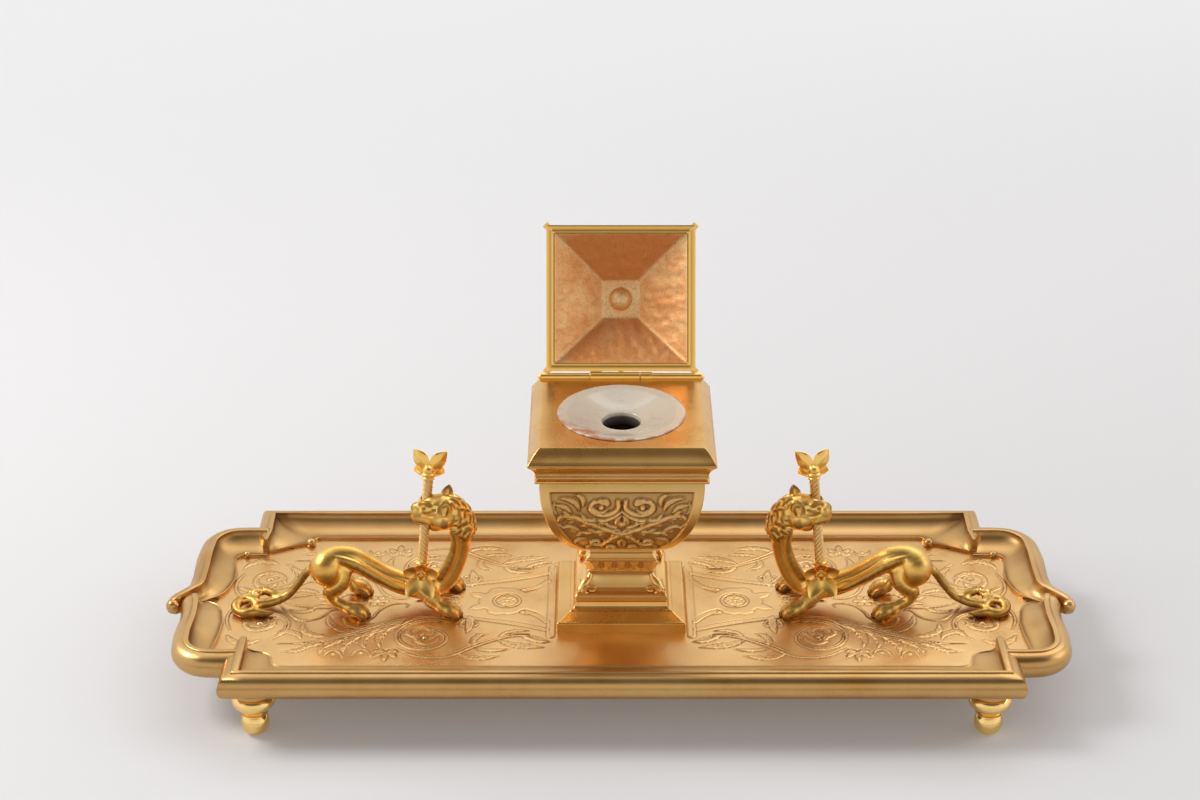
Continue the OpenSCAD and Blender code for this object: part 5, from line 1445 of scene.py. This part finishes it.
# Rows are how far back from the front paw, how far across, the height over the floor and the radius
beastForm = {
    "trunk": [[56, -4.5, 18, 3.0], [52.0, -4, 20.2, 5.2], [44, -3, 20.8, 5.1], [37, -2.5, 16.9, 4.5],
              [30.5, -2.2, 12.6, 4.5], [24, -2, 9.6, 4.8], [16, -2, 8.4, 5.2], [8.5, -1.2, 10.6, 4.6],
              [3.6, -0.8, 17.5, 3.5], [1.4, -0.6, 24, 3.1], [1.0, -0.8, 30, 3.4], [2.2, -1.2, 36.2, 4.7],
              [5.4, -2.0, 40.4, 6.0], [9.2, -2.4, 41.1, 6.1]],
    "muzzle": [[9.2, -2.4, 41.2, 5.8], [12.6, -2.8, 41.4, 5.0], [14.8, -3.2, 40.9, 4.1], [16.3, -3.4, 40.7, 3.8]],
    "haunch": [[49.4, -4, 19.8, 4.4], [52.8, -7.0, 18.6, 5.9], [52.6, -7.6, 17.6, 5.8]],
    "nearHindLeg": [[46.6, -6.2, 16.4, 4.0], [47.6, -8.2, 12.8, 3.6], [51.4, -9.2, 9.4, 2.9], [50.2, -9.6, 6.6, 2.3],
                    [45.6, -10.7, 4.2, 2.1], [41, -11.5, 3.1, 2.4]],
    "farHindLeg": [[49, 0, 18, 4.4], [50.5, 4, 12.6, 3.6], [46.5, 5.6, 7, 2.3], [42.5, 6, 3.6, 2.2],
                   [40.4, 6, 3.0, 2.4]],
    "nearFrontLeg": [[16, -5, 9, 4], [13, -8.4, 6.8, 3.2], [9.6, -10.2, 4.4, 2.5], [6.4, -10.9, 3.4, 2.5]],
    "farFrontLeg": [[13, 2, 9.4, 4], [11, 6.6, 6.6, 3.1], [7.4, 9.4, 4.2, 2.4], [5.0, 10.2, 3.2, 2.4]],
    "tail": [[54, -4, 18.4, 2.2], [59.8, -3.4, 15.6, 1.7], [64.2, -3.4, 9.6, 1.5], [69, -4, 4.6, 1.6],
             [74.5, -5.4, 2.8, 1.8], [79.0, -7.2, 3.0, 1.8]],
    "tailScroll": [[71, -4.6, 4.2, 1.1], [74.6, -2.2, 5.0, 1.5], [77.6, 0.2, 4.6, 1.7], [80.6, 1.4, 3.0, 1.8],
                   [82.0, -0.6, 2.2, 1.3]],
    "flankFold": [[50.8, -7.6, 24.2, 0.3], [47.6, -8.0, 23.2, 1.2], [42.5, -7.6, 20.8, 1.9], [36.4, -6.6, 16.2, 1.9],
                  [30.0, -6.2, 12.0, 1.7], [24.5, -6.4, 9.4, 1.4], [19.0, -6.6, 8.4, 0.8]],
    "throat": [[9.4, -4.6, 13.6, 1.8], [6.4, -3.8, 18.6, 1.7], [4.4, -3.1, 23.6, 1.5], [3.7, -3.0, 28.6, 1.4],
               [4.2, -3.1, 32.6, 1.6]],
    "neckCrease": [[5.4, -6.2, 11.6, 0.3], [3.9, -5.6, 15.6, 0.5], [2.9, -4.9, 20, 0.55], [2.0, -4.5, 24.5, 0.55],
                   [1.8, -4.6, 29.6, 0.5]],
    "jaw": [[5.6, -2.4, 37.4, 4.0], [9.0, -2.7, 35.8, 2.9], [11.4, -2.9, 34.9, 2.2], [12.4, -3.0, 35.3, 1.6]],
    "flankLines": [[[46.8, -9.2, 21.2, 0.3], [41.0, -8.6, 18.0, 0.45], [35.0, -7.4, 13.8, 0.45],
                    [28.4, -7.0, 9.6, 0.4], [22.5, -7.4, 7.4, 0.3]],
                   [[46.4, -7.6, 25.2, 0.3], [41.4, -7.4, 23.4, 0.45], [35.4, -6.4, 18.4, 0.45],
                    [29.6, -6.0, 14.4, 0.4], [23.0, -6.0, 11.6, 0.3]]],
    "paws": [[1.6, -11], [36.8, -11.6], [1.6, 10.2], [37.2, 6]],
    "tailRing": {"centre": (83.9, -8.4, 2.6), "radius": 3.9, "thick": 1.85, "lobes": 0.2, "lean": 14},
    "tailLocks": [[[87.0, -4.2, 3.4, 1.3], [84.0, -2.8, 3.6, 1.6], [80.6, -3.4, 3.4, 1.3]],
                  [[80.4, -11.6, 2.2, 1.6], [76.6, -12.2, 1.8, 1.4], [73.8, -11.4, 1.5, 0.7]]],
    "tailBalls": [[75.4, -0.6, 4.0, 1.5], [79.0, 1.4, 3.6, 1.7], [83.0, 1.4, 2.8, 1.7], [84.6, -0.8, 2.6, 1.5],
                  [72.8, -2.6, 3.8, 1.2], [80.4, -0.8, 3.6, 1.5]],
    "tailNick": [[78.6, 0.2, 5.6, 0.7], [76.4, -1.2, 5.6, 0.5]],
    "soft": {"nearHindLeg": 1.3, "farHindLeg": 2.2, "nearFrontLeg": 2.6, "farFrontLeg": 2.6, "tail": 1.6,
             "tailScroll": 0.8, "flankFold": 0.5, "throat": 0.8},
}

# Mane: its middle line is how far back, across, height and how far the locks stand from it; a lock's rows are the
# share of its length, its wave, how far it stands out and its radius
mane = {
    "line": [[8.6, -2.2, 42.6, 4.4], [5.4, -1.8, 41.2, 4.7], [3.2, -1.4, 39.0, 4.8], [1.6, -1.0, 35.8, 4.7],
             [0.9, -0.8, 32.0, 4.4], [0.8, -0.8, 28.6, 3.7], [1.0, -0.8, 25.6, 3.4]],
    "core": [(2, -3.4, 3.3), (14, -3.0, 3.4), (26, -2.9, 3.3), (36, -2.8, 2.9)],
    "starts": (3.5, 8.5, 13.5, 18.5, 23.5, 28.0), "spread": 0.43, "lean": 0.17, "long": 9.5,
    "lock": [(0.0, 0.0, -0.35, 0.8), (0.25, 1.0, 0.15, 1.22), (0.5, -0.2, 0.35, 1.12), (0.78, -1.1, 0.4, 0.75),
             (1.0, 0.5, 0.75, 0.3)],
    "cheekCurls": [((2.4, -6.5, 39.2), 1.9), ((3.6, -6.2, 34.2), 1.5)],
}


# Locks of the mane: wavy and tapered, in rows down the back of the head and neck
def addMane(clay):
    line = smoothRows(mane["line"], 8)
    ahead = np.gradient(line[:, :3], axis=0)
    ahead /= np.linalg.norm(ahead, axis=1)[:, None]
    across = np.array([0.0, 1.0, 0.0])

    def spot(at, turn, out=0.0):
        at = min(max(at, 0.0), len(line) - 1.001)
        i, f = int(at), at - int(at)
        row, way = line[i] * (1 - f) + line[i + 1] * f, ahead[i]
        back = np.cross(across, way)
        return row[:3] + (row[3] + out) * (back * math.cos(turn) + across * math.sin(turn))

    clay.add([[*spot(at, 0, out), r] for at, out, r in mane["core"]], 1.2)
    for i, start in enumerate(mane["starts"]):
        for j in range(-4, 5):
            turn = (j + (0.5 if i % 2 else 0.0)) * mane["spread"]
            if abs(turn) > (1.35 if i < 1 else 1.95):
                continue
            lean = mane["lean"] * (1 if (i + 2 * j) % 3 else -1)
            long = mane["long"] + 2.0 * math.cos(2.1 * i + j)
            clay.add([[*spot(start + long * s, turn + lean * wave, out), r] for s, wave, out, r in mane["lock"]],
                     0.18, 3)
    # two curls behind the cheek
    for centre, size in mane["cheekCurls"]:
        for side in (1, -1):
            wind, aside = [], 1.4 if side < 0 else 0
            for t in np.linspace(0, 1, 12):
                out, turn = size * (1 - 0.75 * t), 7.5 * t + 0.6
                wind.append([centre[0] + out * math.cos(turn), (centre[1] - 0.5 * t) * side - aside,
                             centre[2] + out * math.sin(turn), 0.62 - 0.1 * t])
            clay.add(wind, 0.15, 2)


# Toes, each with a knuckle and a claw
def addPaw(clay, t, y):
    clay.add([[t + 6.4, y, 3.2, 2.5], [t + 3.6, y, 2.4, 2.9], [t + 2.4, y, 1.7, 2.5]], 1.2, flat=0.86)
    for k in (-1.5, -0.5, 0.5, 1.5):
        back = (abs(k) - 0.5) * 1.3
        clay.add([[t + 5.2 + back * 0.4, y + k * 1.4, 3.0, 0.8], [t + 2.7 + back, y + k * 1.9, 2.75, 1.15],
                  [t + 1.1 + back, y + k * 2.05, 1.65, 1.3], [t + 0.8 + back, y + k * 2.05, 0.9, 1.15]], 0.55)
        clay.add([[t - 0.3 + back, y + k * 2.05, 0.7, 0.5], [t - 0.7 + back, y + k * 2.05, 0.3, 0.3]], 0.4)
    clay.take([[t + 6.2, y - 2.9, 0.4, 0.8], [t + 8.0, y, 0.2, 1.1], [t + 6.2, y + 2.9, 0.4, 0.8]], 0.6)


def addHead(clay):
    clay.add([[18.2, -3.55, 42.7, 1.75]], 0.9)
    clay.add([[12.4, -2.9, 45.4, 1.7], [14.9, -3.2, 44.2, 1.3], [17.4, -3.5, 43.6, 1.2]], 1.4)
    for s in (-1, 1):
        def y(out):
            return -3.0 + s * out

        clay.add([[18.3, y(1.25), 39.0, 1.7], [16.6, y(2.3), 38.8, 2.0], [14.0, y(2.9), 38.6, 1.7],
                  [11.6, y(3.4), 38.4, 1.2]], 0.6)
        clay.add([[7.6, y(4.4), 38.6, 2.6], [10.8, y(4.0), 38.8, 1.9]], 1.2)
        # brow, eye with its lids, and the fold under it
        clay.add([[16.4, y(1.5), 44.5, 0.8], [15.2, y(2.5), 45.7, 1.05], [13.4, y(3.3), 45.9, 1.05],
                  [11.6, y(4.1), 45.3, 0.7]], 0.8)
        clay.take([[14.9, y(4.3), 44.2, 1.3]], 0.5)
        clay.take([[11.2, y(5.2), 45.4, 0.9], [9.6, y(5.4), 44.6, 1.0]], 0.9)
        clay.add([[14.5, y(3.1), 44.1, 1.3]], 0.12)
        clay.add([[16.0, y(2.5), 43.4, 0.5], [14.8, y(3.75), 42.9, 0.65], [12.8, y(4.5), 43.1, 0.6],
                  [11.2, y(4.9), 43.6, 0.4]], 0.3)
        clay.take([[15.4, y(4.1), 41.7, 0.4], [13.6, y(4.9), 41.3, 0.45], [11.6, y(5.4), 41.5, 0.35]], 0.4)
        clay.take([[20.0, y(0.75), 42.2, 0.5], [19.3, y(1.5), 42.0, 0.4]], 0.3)
        clay.take([[20.3, y(0.6), 38.6, 0.35], [18.4, y(3.0), 37.8, 0.4], [15.4, y(4.4), 37.4, 0.45],
                   [12.0, y(4.9), 37.0, 0.4]], 0.25)
    clay.take([[20.4, -3.55, 41.0, 0.35], [20.3, -3.5, 38.4, 0.4]], 0.3)
    # the near ear hangs, cupped, and the far one is pricked
    clay.add([[7.6, -6.8, 41.0, 1.0], [7.2, -7.3, 42.8, 1.8], [6.7, -7.3, 44.8, 2.0], [6.3, -6.8, 46.4, 1.3]], 0.5)
    clay.add([[8.2, -7.6, 40.6, 0.5], [9.0, -8.1, 42.9, 0.7], [8.7, -8.1, 45.2, 0.75], [7.1, -7.8, 47.1, 0.7],
              [5.2, -7.5, 46.4, 0.65], [4.6, -7.3, 44.2, 0.6], [5.2, -7.3, 42.2, 0.45]], 0.3)
    clay.take([[7.1, -8.7, 42.6, 0.5], [7.1, -9.3, 43.9, 1.0], [6.9, -9.3, 45.1, 1.1]], 0.5)
    clay.add([[6.4, 0.8, 45.2, 2.5], [5.9, 1.4, 47.4, 1.8], [5.5, 1.7, 49.4, 0.6]], 0.9)
    clay.add([[8.4, 0.4, 45.6, 0.7], [7.7, 0.9, 47.4, 0.7], [6.6, 1.4, 48.8, 0.5]], 0.5)
    clay.take([[6.7, -0.9, 46.6, 1.0], [6.0, -0.2, 48.6, 0.6]], 0.4)


def sculptBeast():
    f = beastForm
    clay = Clay((-9.5, -17.8, -0.9), (91.5, 15.8, 53.5), beast["cell"])
    clay.add(f["trunk"], 0.5, 10)
    clay.add(f["haunch"], 1.8)
    clay.add(f["muzzle"], 1.6)
    clay.add(f["jaw"], 1.0)
    for name, soft in f["soft"].items():
        clay.add(f[name], soft)
    clay.take(f["neckCrease"], 0.5)
    for row in f["flankLines"]:
        clay.take(row, 0.6)
    # tail ring, tipped to the front so that its hole shows, with lobes round it
    tail = f["tailRing"]
    (x, y, z), r, lean = tail["centre"], tail["radius"], math.radians(tail["lean"])
    ring = [(x + r * math.cos(a), y - r * math.sin(a) * math.cos(lean), z - r * math.sin(a) * math.sin(lean),
             tail["thick"] + tail["lobes"] * math.cos(3 * a + 0.6)) for a in np.linspace(0, 2 * math.pi, 29)]
    clay.add(ring, 0.6, 1)
    for row in f["tailLocks"]:
        clay.add(row, 0.8)
    for ball in f["tailBalls"]:
        clay.add([ball], 0.9)
    clay.take(f["tailNick"], 0.5)
    for t, y in f["paws"]:
        addPaw(clay, t, y)
    addHead(clay)
    addMane(clay)
    # hole for the rod, and the flat under the paws
    ends = [rodFrame() @ Vector((0, 0, z)) * 1000 for z in (-0.001, 0.041)]
    clay.take([[p.x - beast["x"], p.y, p.z - beast["z"], beast["rodRadius"] + 0.02] for p in ends], 0.2)
    level = clay.axes[2][None, None, :]
    clay.field = np.maximum(clay.field, -(level + 0.25))
    points, faces = clay.skin()
    return points + [beast["x"], 0, beast["z"]], faces


def rodFrame():
    tiltX, tiltY = (math.radians(angle) for angle in beast["rodTilt"])
    return shift(*beast["rod"]) @ Matrix.Rotation(tiltY, 4, "Y") @ Matrix.Rotation(tiltX, 4, "X")


def pair(name, mesh, material, node):
    left = mirrored(mesh, name + "Left")
    makePiece(name + "Right", mesh, "stand", material, [node + "_right"])
    makePiece(name + "Left", left, "stand", material, [node + "_left"])


def makeBeasts():
    mesh = makeMesh("beast", *sculptBeast(), 70)
    pair("beast", markHollows(mesh, 0.1, 5), burnishedGilding, "beast")


# Rope rods

rope = {"Length": 0.040, "Radius": 0.0019, "Strands": 6.0, "Depth": 0.115, "Turns": 4.0, "Steps": 150, "Sides": 66,
        "Material": ropeGilding}


def makeRods():
    wires = newTree("ropeRod", rope)
    start = wires["start"]
    end = start.node("ShaderNodeCombineXYZ", {}, {"Z": wires["Length"]})
    line = start.node("GeometryNodeCurvePrimitiveLine", {}, {"End": end})
    line = start.node("GeometryNodeResampleCurve", {}, {"Curve": line, "Count": wires["Steps"]})
    along = start.node("GeometryNodeSplineParameter", output="Factor")
    line = start.node("GeometryNodeSetCurveTilt", {}, {"Curve": line, "Tilt": along * wires["Turns"] * (2 * math.pi)})
    sizes = {"Resolution": wires["Sides"], "Radius": wires["Radius"]}
    ring = start.node("GeometryNodeCurvePrimitiveCircle", {}, sizes)
    place = start.node("GeometryNodeInputPosition")
    parts = start.node("ShaderNodeSeparateXYZ", {}, {"Vector": place})
    angle = start.sum("ARCTAN2", parts.beside("Y"), parts.beside("X"))
    groove = start.sum("ABSOLUTE", start.sum("SINE", angle * wires["Strands"] * 0.5))
    size = 1.0 - wires["Depth"] * (1.0 - groove ** 0.6)
    scaled = start.node("ShaderNodeVectorMath", {"operation": "SCALE"}, {0: place, "Scale": size})
    ring = start.node("GeometryNodeSetPosition", {}, {"Geometry": ring, "Position": scaled})
    rod = start.node("GeometryNodeCurveToMesh", {}, {"Curve": line, "Profile Curve": ring, "Fill Caps": True})
    closeTree(wires, rod, wires["Material"])
    mesh = markHollows(growMesh("rod", wires, rope, 70), 0.08, 3)
    pair("rod", turnMesh(mesh, rodFrame()), ropeGilding, "rod")


# Flowers on the rods

# Petals are angle, length, half width and curl
topFlower = {"turn": -68.0, "cup": 2.5, "collar": -1.6,
             "petals": [(316, 7.8, 3.3, 0.25), (224, 7.8, 3.3, 0.25), (30, 5.8, 2.9, 0.3), (150, 5.8, 2.9, 0.3)]}
lowerFlower = {"turn": 100.0, "cup": 2.3, "collar": 3.6,
               "petals": [(90, 5.2, 2.7, 0.4), (22, 6.6, 2.8, 0.3), (158, 6.6, 2.8, 0.3), (306, 8.2, 3.0, 0.3),
                          (234, 8.2, 3.0, 0.3)]}


# Pointed petal, folded along its vein, standing out at an angle round the cup
def petalMesh(angle, long, wide, curl):
    rows, cols = 14, 11
    points = []
    for side in (1, -1):
        for i in range(rows):
            s = i / (rows - 1)
            swell = 0.4 + 0.6 * math.sin(math.pi * min(s * 0.8 + 0.08, 1)) ** 1.2
            half = wide * swell * (1 - s ** 2.6) ** 0.8 + 0.05
            rise = 2.4 + long * (0.30 * s + 0.34 * math.sin(curl * s * 2.2))
            dish = 1.1 * math.sin(math.pi * min(s + 0.12, 1)) ** 0.7
            for k in range(cols):
                q = -1 + 2 * k / (cols - 1)
                out = 1.4 + long * s * math.cos(curl * s * 1.3)
                up = rise - dish * (1 - abs(q) ** 1.3)
                thick = 0.28 * (1 - 0.45 * s) + 0.14 * max(0, 1 - abs(q) * 5) * (1 - s)
                points.append((out, q * half, up + side * thick))
    count = rows * cols
    top = gridFaces(rows, cols, closed=False)
    grid = np.arange(count).reshape(rows, cols)
    edge = [*grid[0], *grid[1:, -1], *grid[-1, -2::-1], *grid[-2:0:-1, 0]]
    faces = top + [tuple(count + v for v in reversed(f)) for f in top]
    faces += [(a, b, count + b, count + a) for a, b in zip(edge, edge[1:] + edge[:1])]
    mesh = makeMesh("petal", points, faces, 60, outward=True)
    return turnMesh(mesh, Matrix.Rotation(math.radians(angle), 4, "Z"))


def makeFlower(name, flower, along, node):
    parts = [petalMesh(*petal) for petal in flower["petals"]]
    r = flower["cup"]
    cupRows = [(0.3, -1.1), (1.6, -0.9), (2.3, -0.1), (r - 0.1, 0.9), (r, 1.6), (r - 0.2, 2.2), (r - 0.75, 2.5),
               (r - 0.5, 3.0), (r - 0.2, 3.4), (r - 0.5, 3.7), (r - 1.0, 3.2), (r - 1.4, 2.2), (0.3, 1.8)]
    parts.append(latheMesh("cup", cupRows, 0.3, 36))
    tilt = Matrix.Rotation(math.radians(flower["turn"]), 4, "X") @ shift(0, 0, -0.8)
    parts = [turnMesh(part, tilt) for part in parts]
    collarRows = ((1.5, -1.5), (2.3, -1.3), (2.45, -0.8), (2.1, -0.4), (2.75, 0.1), (2.8, 0.7), (2.2, 1.2),
                  (1.5, 1.3))
    parts.append(latheMesh("collar", [(radius, flower["collar"] + up) for radius, up in collarRows], 0.2, 28))
    mesh = turnMesh(markHollows(joinMeshes(name, parts, 60), 0.15), rodFrame() @ shift(0, 0, along))
    pair(name, mesh, burnishedGilding, node)


makeBeasts()
print("beasts sculpted")
makeRods()
makeFlower("topFlower", topFlower, beast["rodLength"], "top_flower")
makeFlower("lowerFlower", lowerFlower, 0, "lower_flower")
print("rods and flowers made")

for node in ("hinge_pin", "centre_bolt", "centre_washer", "centre_nut", "beast_screws_left", "beast_screws_right"):
    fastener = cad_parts[node]
    fastener.data.materials.clear()
    fastener.data.materials.append(dullSteel)
print("fasteners finished")


# Floor, light and camera

studio = {
    "ground": (0.90, 0.90, 0.905), "wall": (0.885, 0.885, 0.895), "sky": (0.94, 0.94, 0.95),
    "albedo": (0.745, 0.738, 0.74), "lift": 0.10, "bend": 0.55, "bendRadius": 0.5, "sheet": 2.2,
    "world": 1.0, "front": (0.13, 0.112, 0.10), "under": (0.10, 0.08, 0.07), "room": (0.86, 0.82, 0.77),
    "back": (0.84, 0.84, 0.86), "sides": (0.95, 0.95, 0.97),
    "lens": 72.3, "place": (-0.00802, -0.8076, 0.4936), "tilt": 64.5,
}
# Each lamp: its place, the height it is aimed at, its two sizes and its watts
lamps = {
    "key": ((-0.88, 0.17, 0.92), 0.03, (0.5, 0.5), 8.0),
    "rear": ((0.2, 0.95, 1.1), 0.05, (1.6, 0.6), 5.0),
    "right": ((1.2, 0.1, 0.8), 0.05, (0.7, 0.7), 2.0),
}


# Pale sheet that keeps the shadow, and is seen by the camera and by shiny metal at a set tone
def backdropMaterial():
    material, start, place = newMaterial("backdrop")
    height = start.node("ShaderNodeSeparateXYZ", {}, {"Vector": place}, "Z")
    rise = (height / 0.3 + (height.beside("Y") - 0.12) * 0.9).limited()
    colour = blend(start, rise, studio["ground"], studio["wall"])
    colour = blend(start, ((height - 0.35) / 0.9).limited(), colour, studio["sky"])
    ways = start.node("ShaderNodeLightPath", output="Is Camera Ray")
    mirrored = ways.beside("Is Glossy Ray")
    seen = (ways + mirrored + ways.beside("Is Transmission Ray")).limited()
    ahead = ((-0.15 - height.beside("Y")) / 0.12).limited() * mirrored  # the table ends before the lens
    colour = blend(start, ahead, colour, studio["under"])
    diffuse = start.node("ShaderNodeBsdfDiffuse", {}, {"Color": studio["albedo"]})
    glow = start.node("ShaderNodeEmission", {}, {"Color": colour, "Strength": 1.0})
    share = start.sum("MAXIMUM", seen * (studio["lift"] + rise * (1.0 - studio["lift"])), ahead)
    mixed = start.node("ShaderNodeMixShader", {}, {0: share, 1: diffuse, 2: glow})
    start.node("ShaderNodeOutputMaterial", {}, {"Surface": mixed})
    return material


def makeBackdrop():
    bend, radius, wide = studio["bend"], studio["bendRadius"], studio["sheet"]
    rows = [(-1.2, 0.0), (bend, 0.0)]
    rows += [(bend + radius * math.sin(a), radius - radius * math.cos(a)) for a in np.radians(np.arange(10, 91, 10))]
    rows += [(bend + radius, wide)]
    points = [(x, y, z) for y, z in rows for x in (-wide, wide)]
    faces = [(2 * i, 2 * i + 1, 2 * i + 3, 2 * i + 2) for i in range(len(rows) - 1)]
    mesh = makeMesh("backdrop", np.array(points) * 1000, faces, 180)
    sheet = bpy.data.objects.new("backdrop", mesh)
    bpy.context.scene.collection.objects.link(sheet)
    mesh.materials.append(backdropMaterial())


def addLamp(name, place, aim, size, power):
    lamp = bpy.data.lights.new(name, "AREA")
    lamp.shape, lamp.energy = "RECTANGLE", power
    lamp.size, lamp.size_y = size
    holder = bpy.data.objects.new(name, lamp)
    bpy.context.scene.collection.objects.link(holder)
    holder.location = place
    holder.rotation_euler = (Vector((0, 0, aim)) - Vector(place)).to_track_quat("-Z", "Y").to_euler()


def lightStudio():
    world = bpy.data.worlds.new("studio")
    bpy.context.scene.world = world
    world.use_nodes = True
    tree = world.node_tree
    tree.nodes.clear()
    start = Wire(tree)
    parts = start.node("ShaderNodeSeparateXYZ", {}, {"Vector": start.node("ShaderNodeTexCoord", output="Generated")})
    x, y, z = parts.beside("X"), parts.beside("Y"), parts.beside("Z")
    # lit part of the room behind the camera
    room = ((0.70 - z) / 0.16).limited() * ((z + 0.12) / 0.14).limited() * ((-0.15 - y) / 0.2).limited()
    colour = blend(start, room, studio["front"], studio["room"])
    colour = blend(start, ((-0.06 - z) / 0.2).limited(), colour, studio["under"])
    colour = blend(start, ((y + 0.15) / 0.45).limited(), colour, studio["back"])
    colour = blend(start, ((start.sum("ABSOLUTE", x) - 0.55) / 0.25).limited(), colour, studio["sides"])
    glow = start.node("ShaderNodeBackground", {}, {"Color": colour, "Strength": studio["world"]})
    start.node("ShaderNodeOutputWorld", {}, {"Surface": glow})
    for name, values in lamps.items():
        addLamp(name, *values)


def addCamera():
    camera = bpy.data.cameras.new("camera")
    camera.lens, camera.sensor_width = studio["lens"], 36.0
    holder = bpy.data.objects.new("camera", camera)
    holder.location = studio["place"]
    holder.rotation_euler = (math.radians(studio["tilt"]), 0, 0)
    bpy.context.scene.collection.objects.link(holder)
    bpy.context.scene.camera = holder


makeBackdrop()
lightStudio()
addCamera()
bpy.context.scene.view_settings.view_transform = "Standard"
print("studio set")
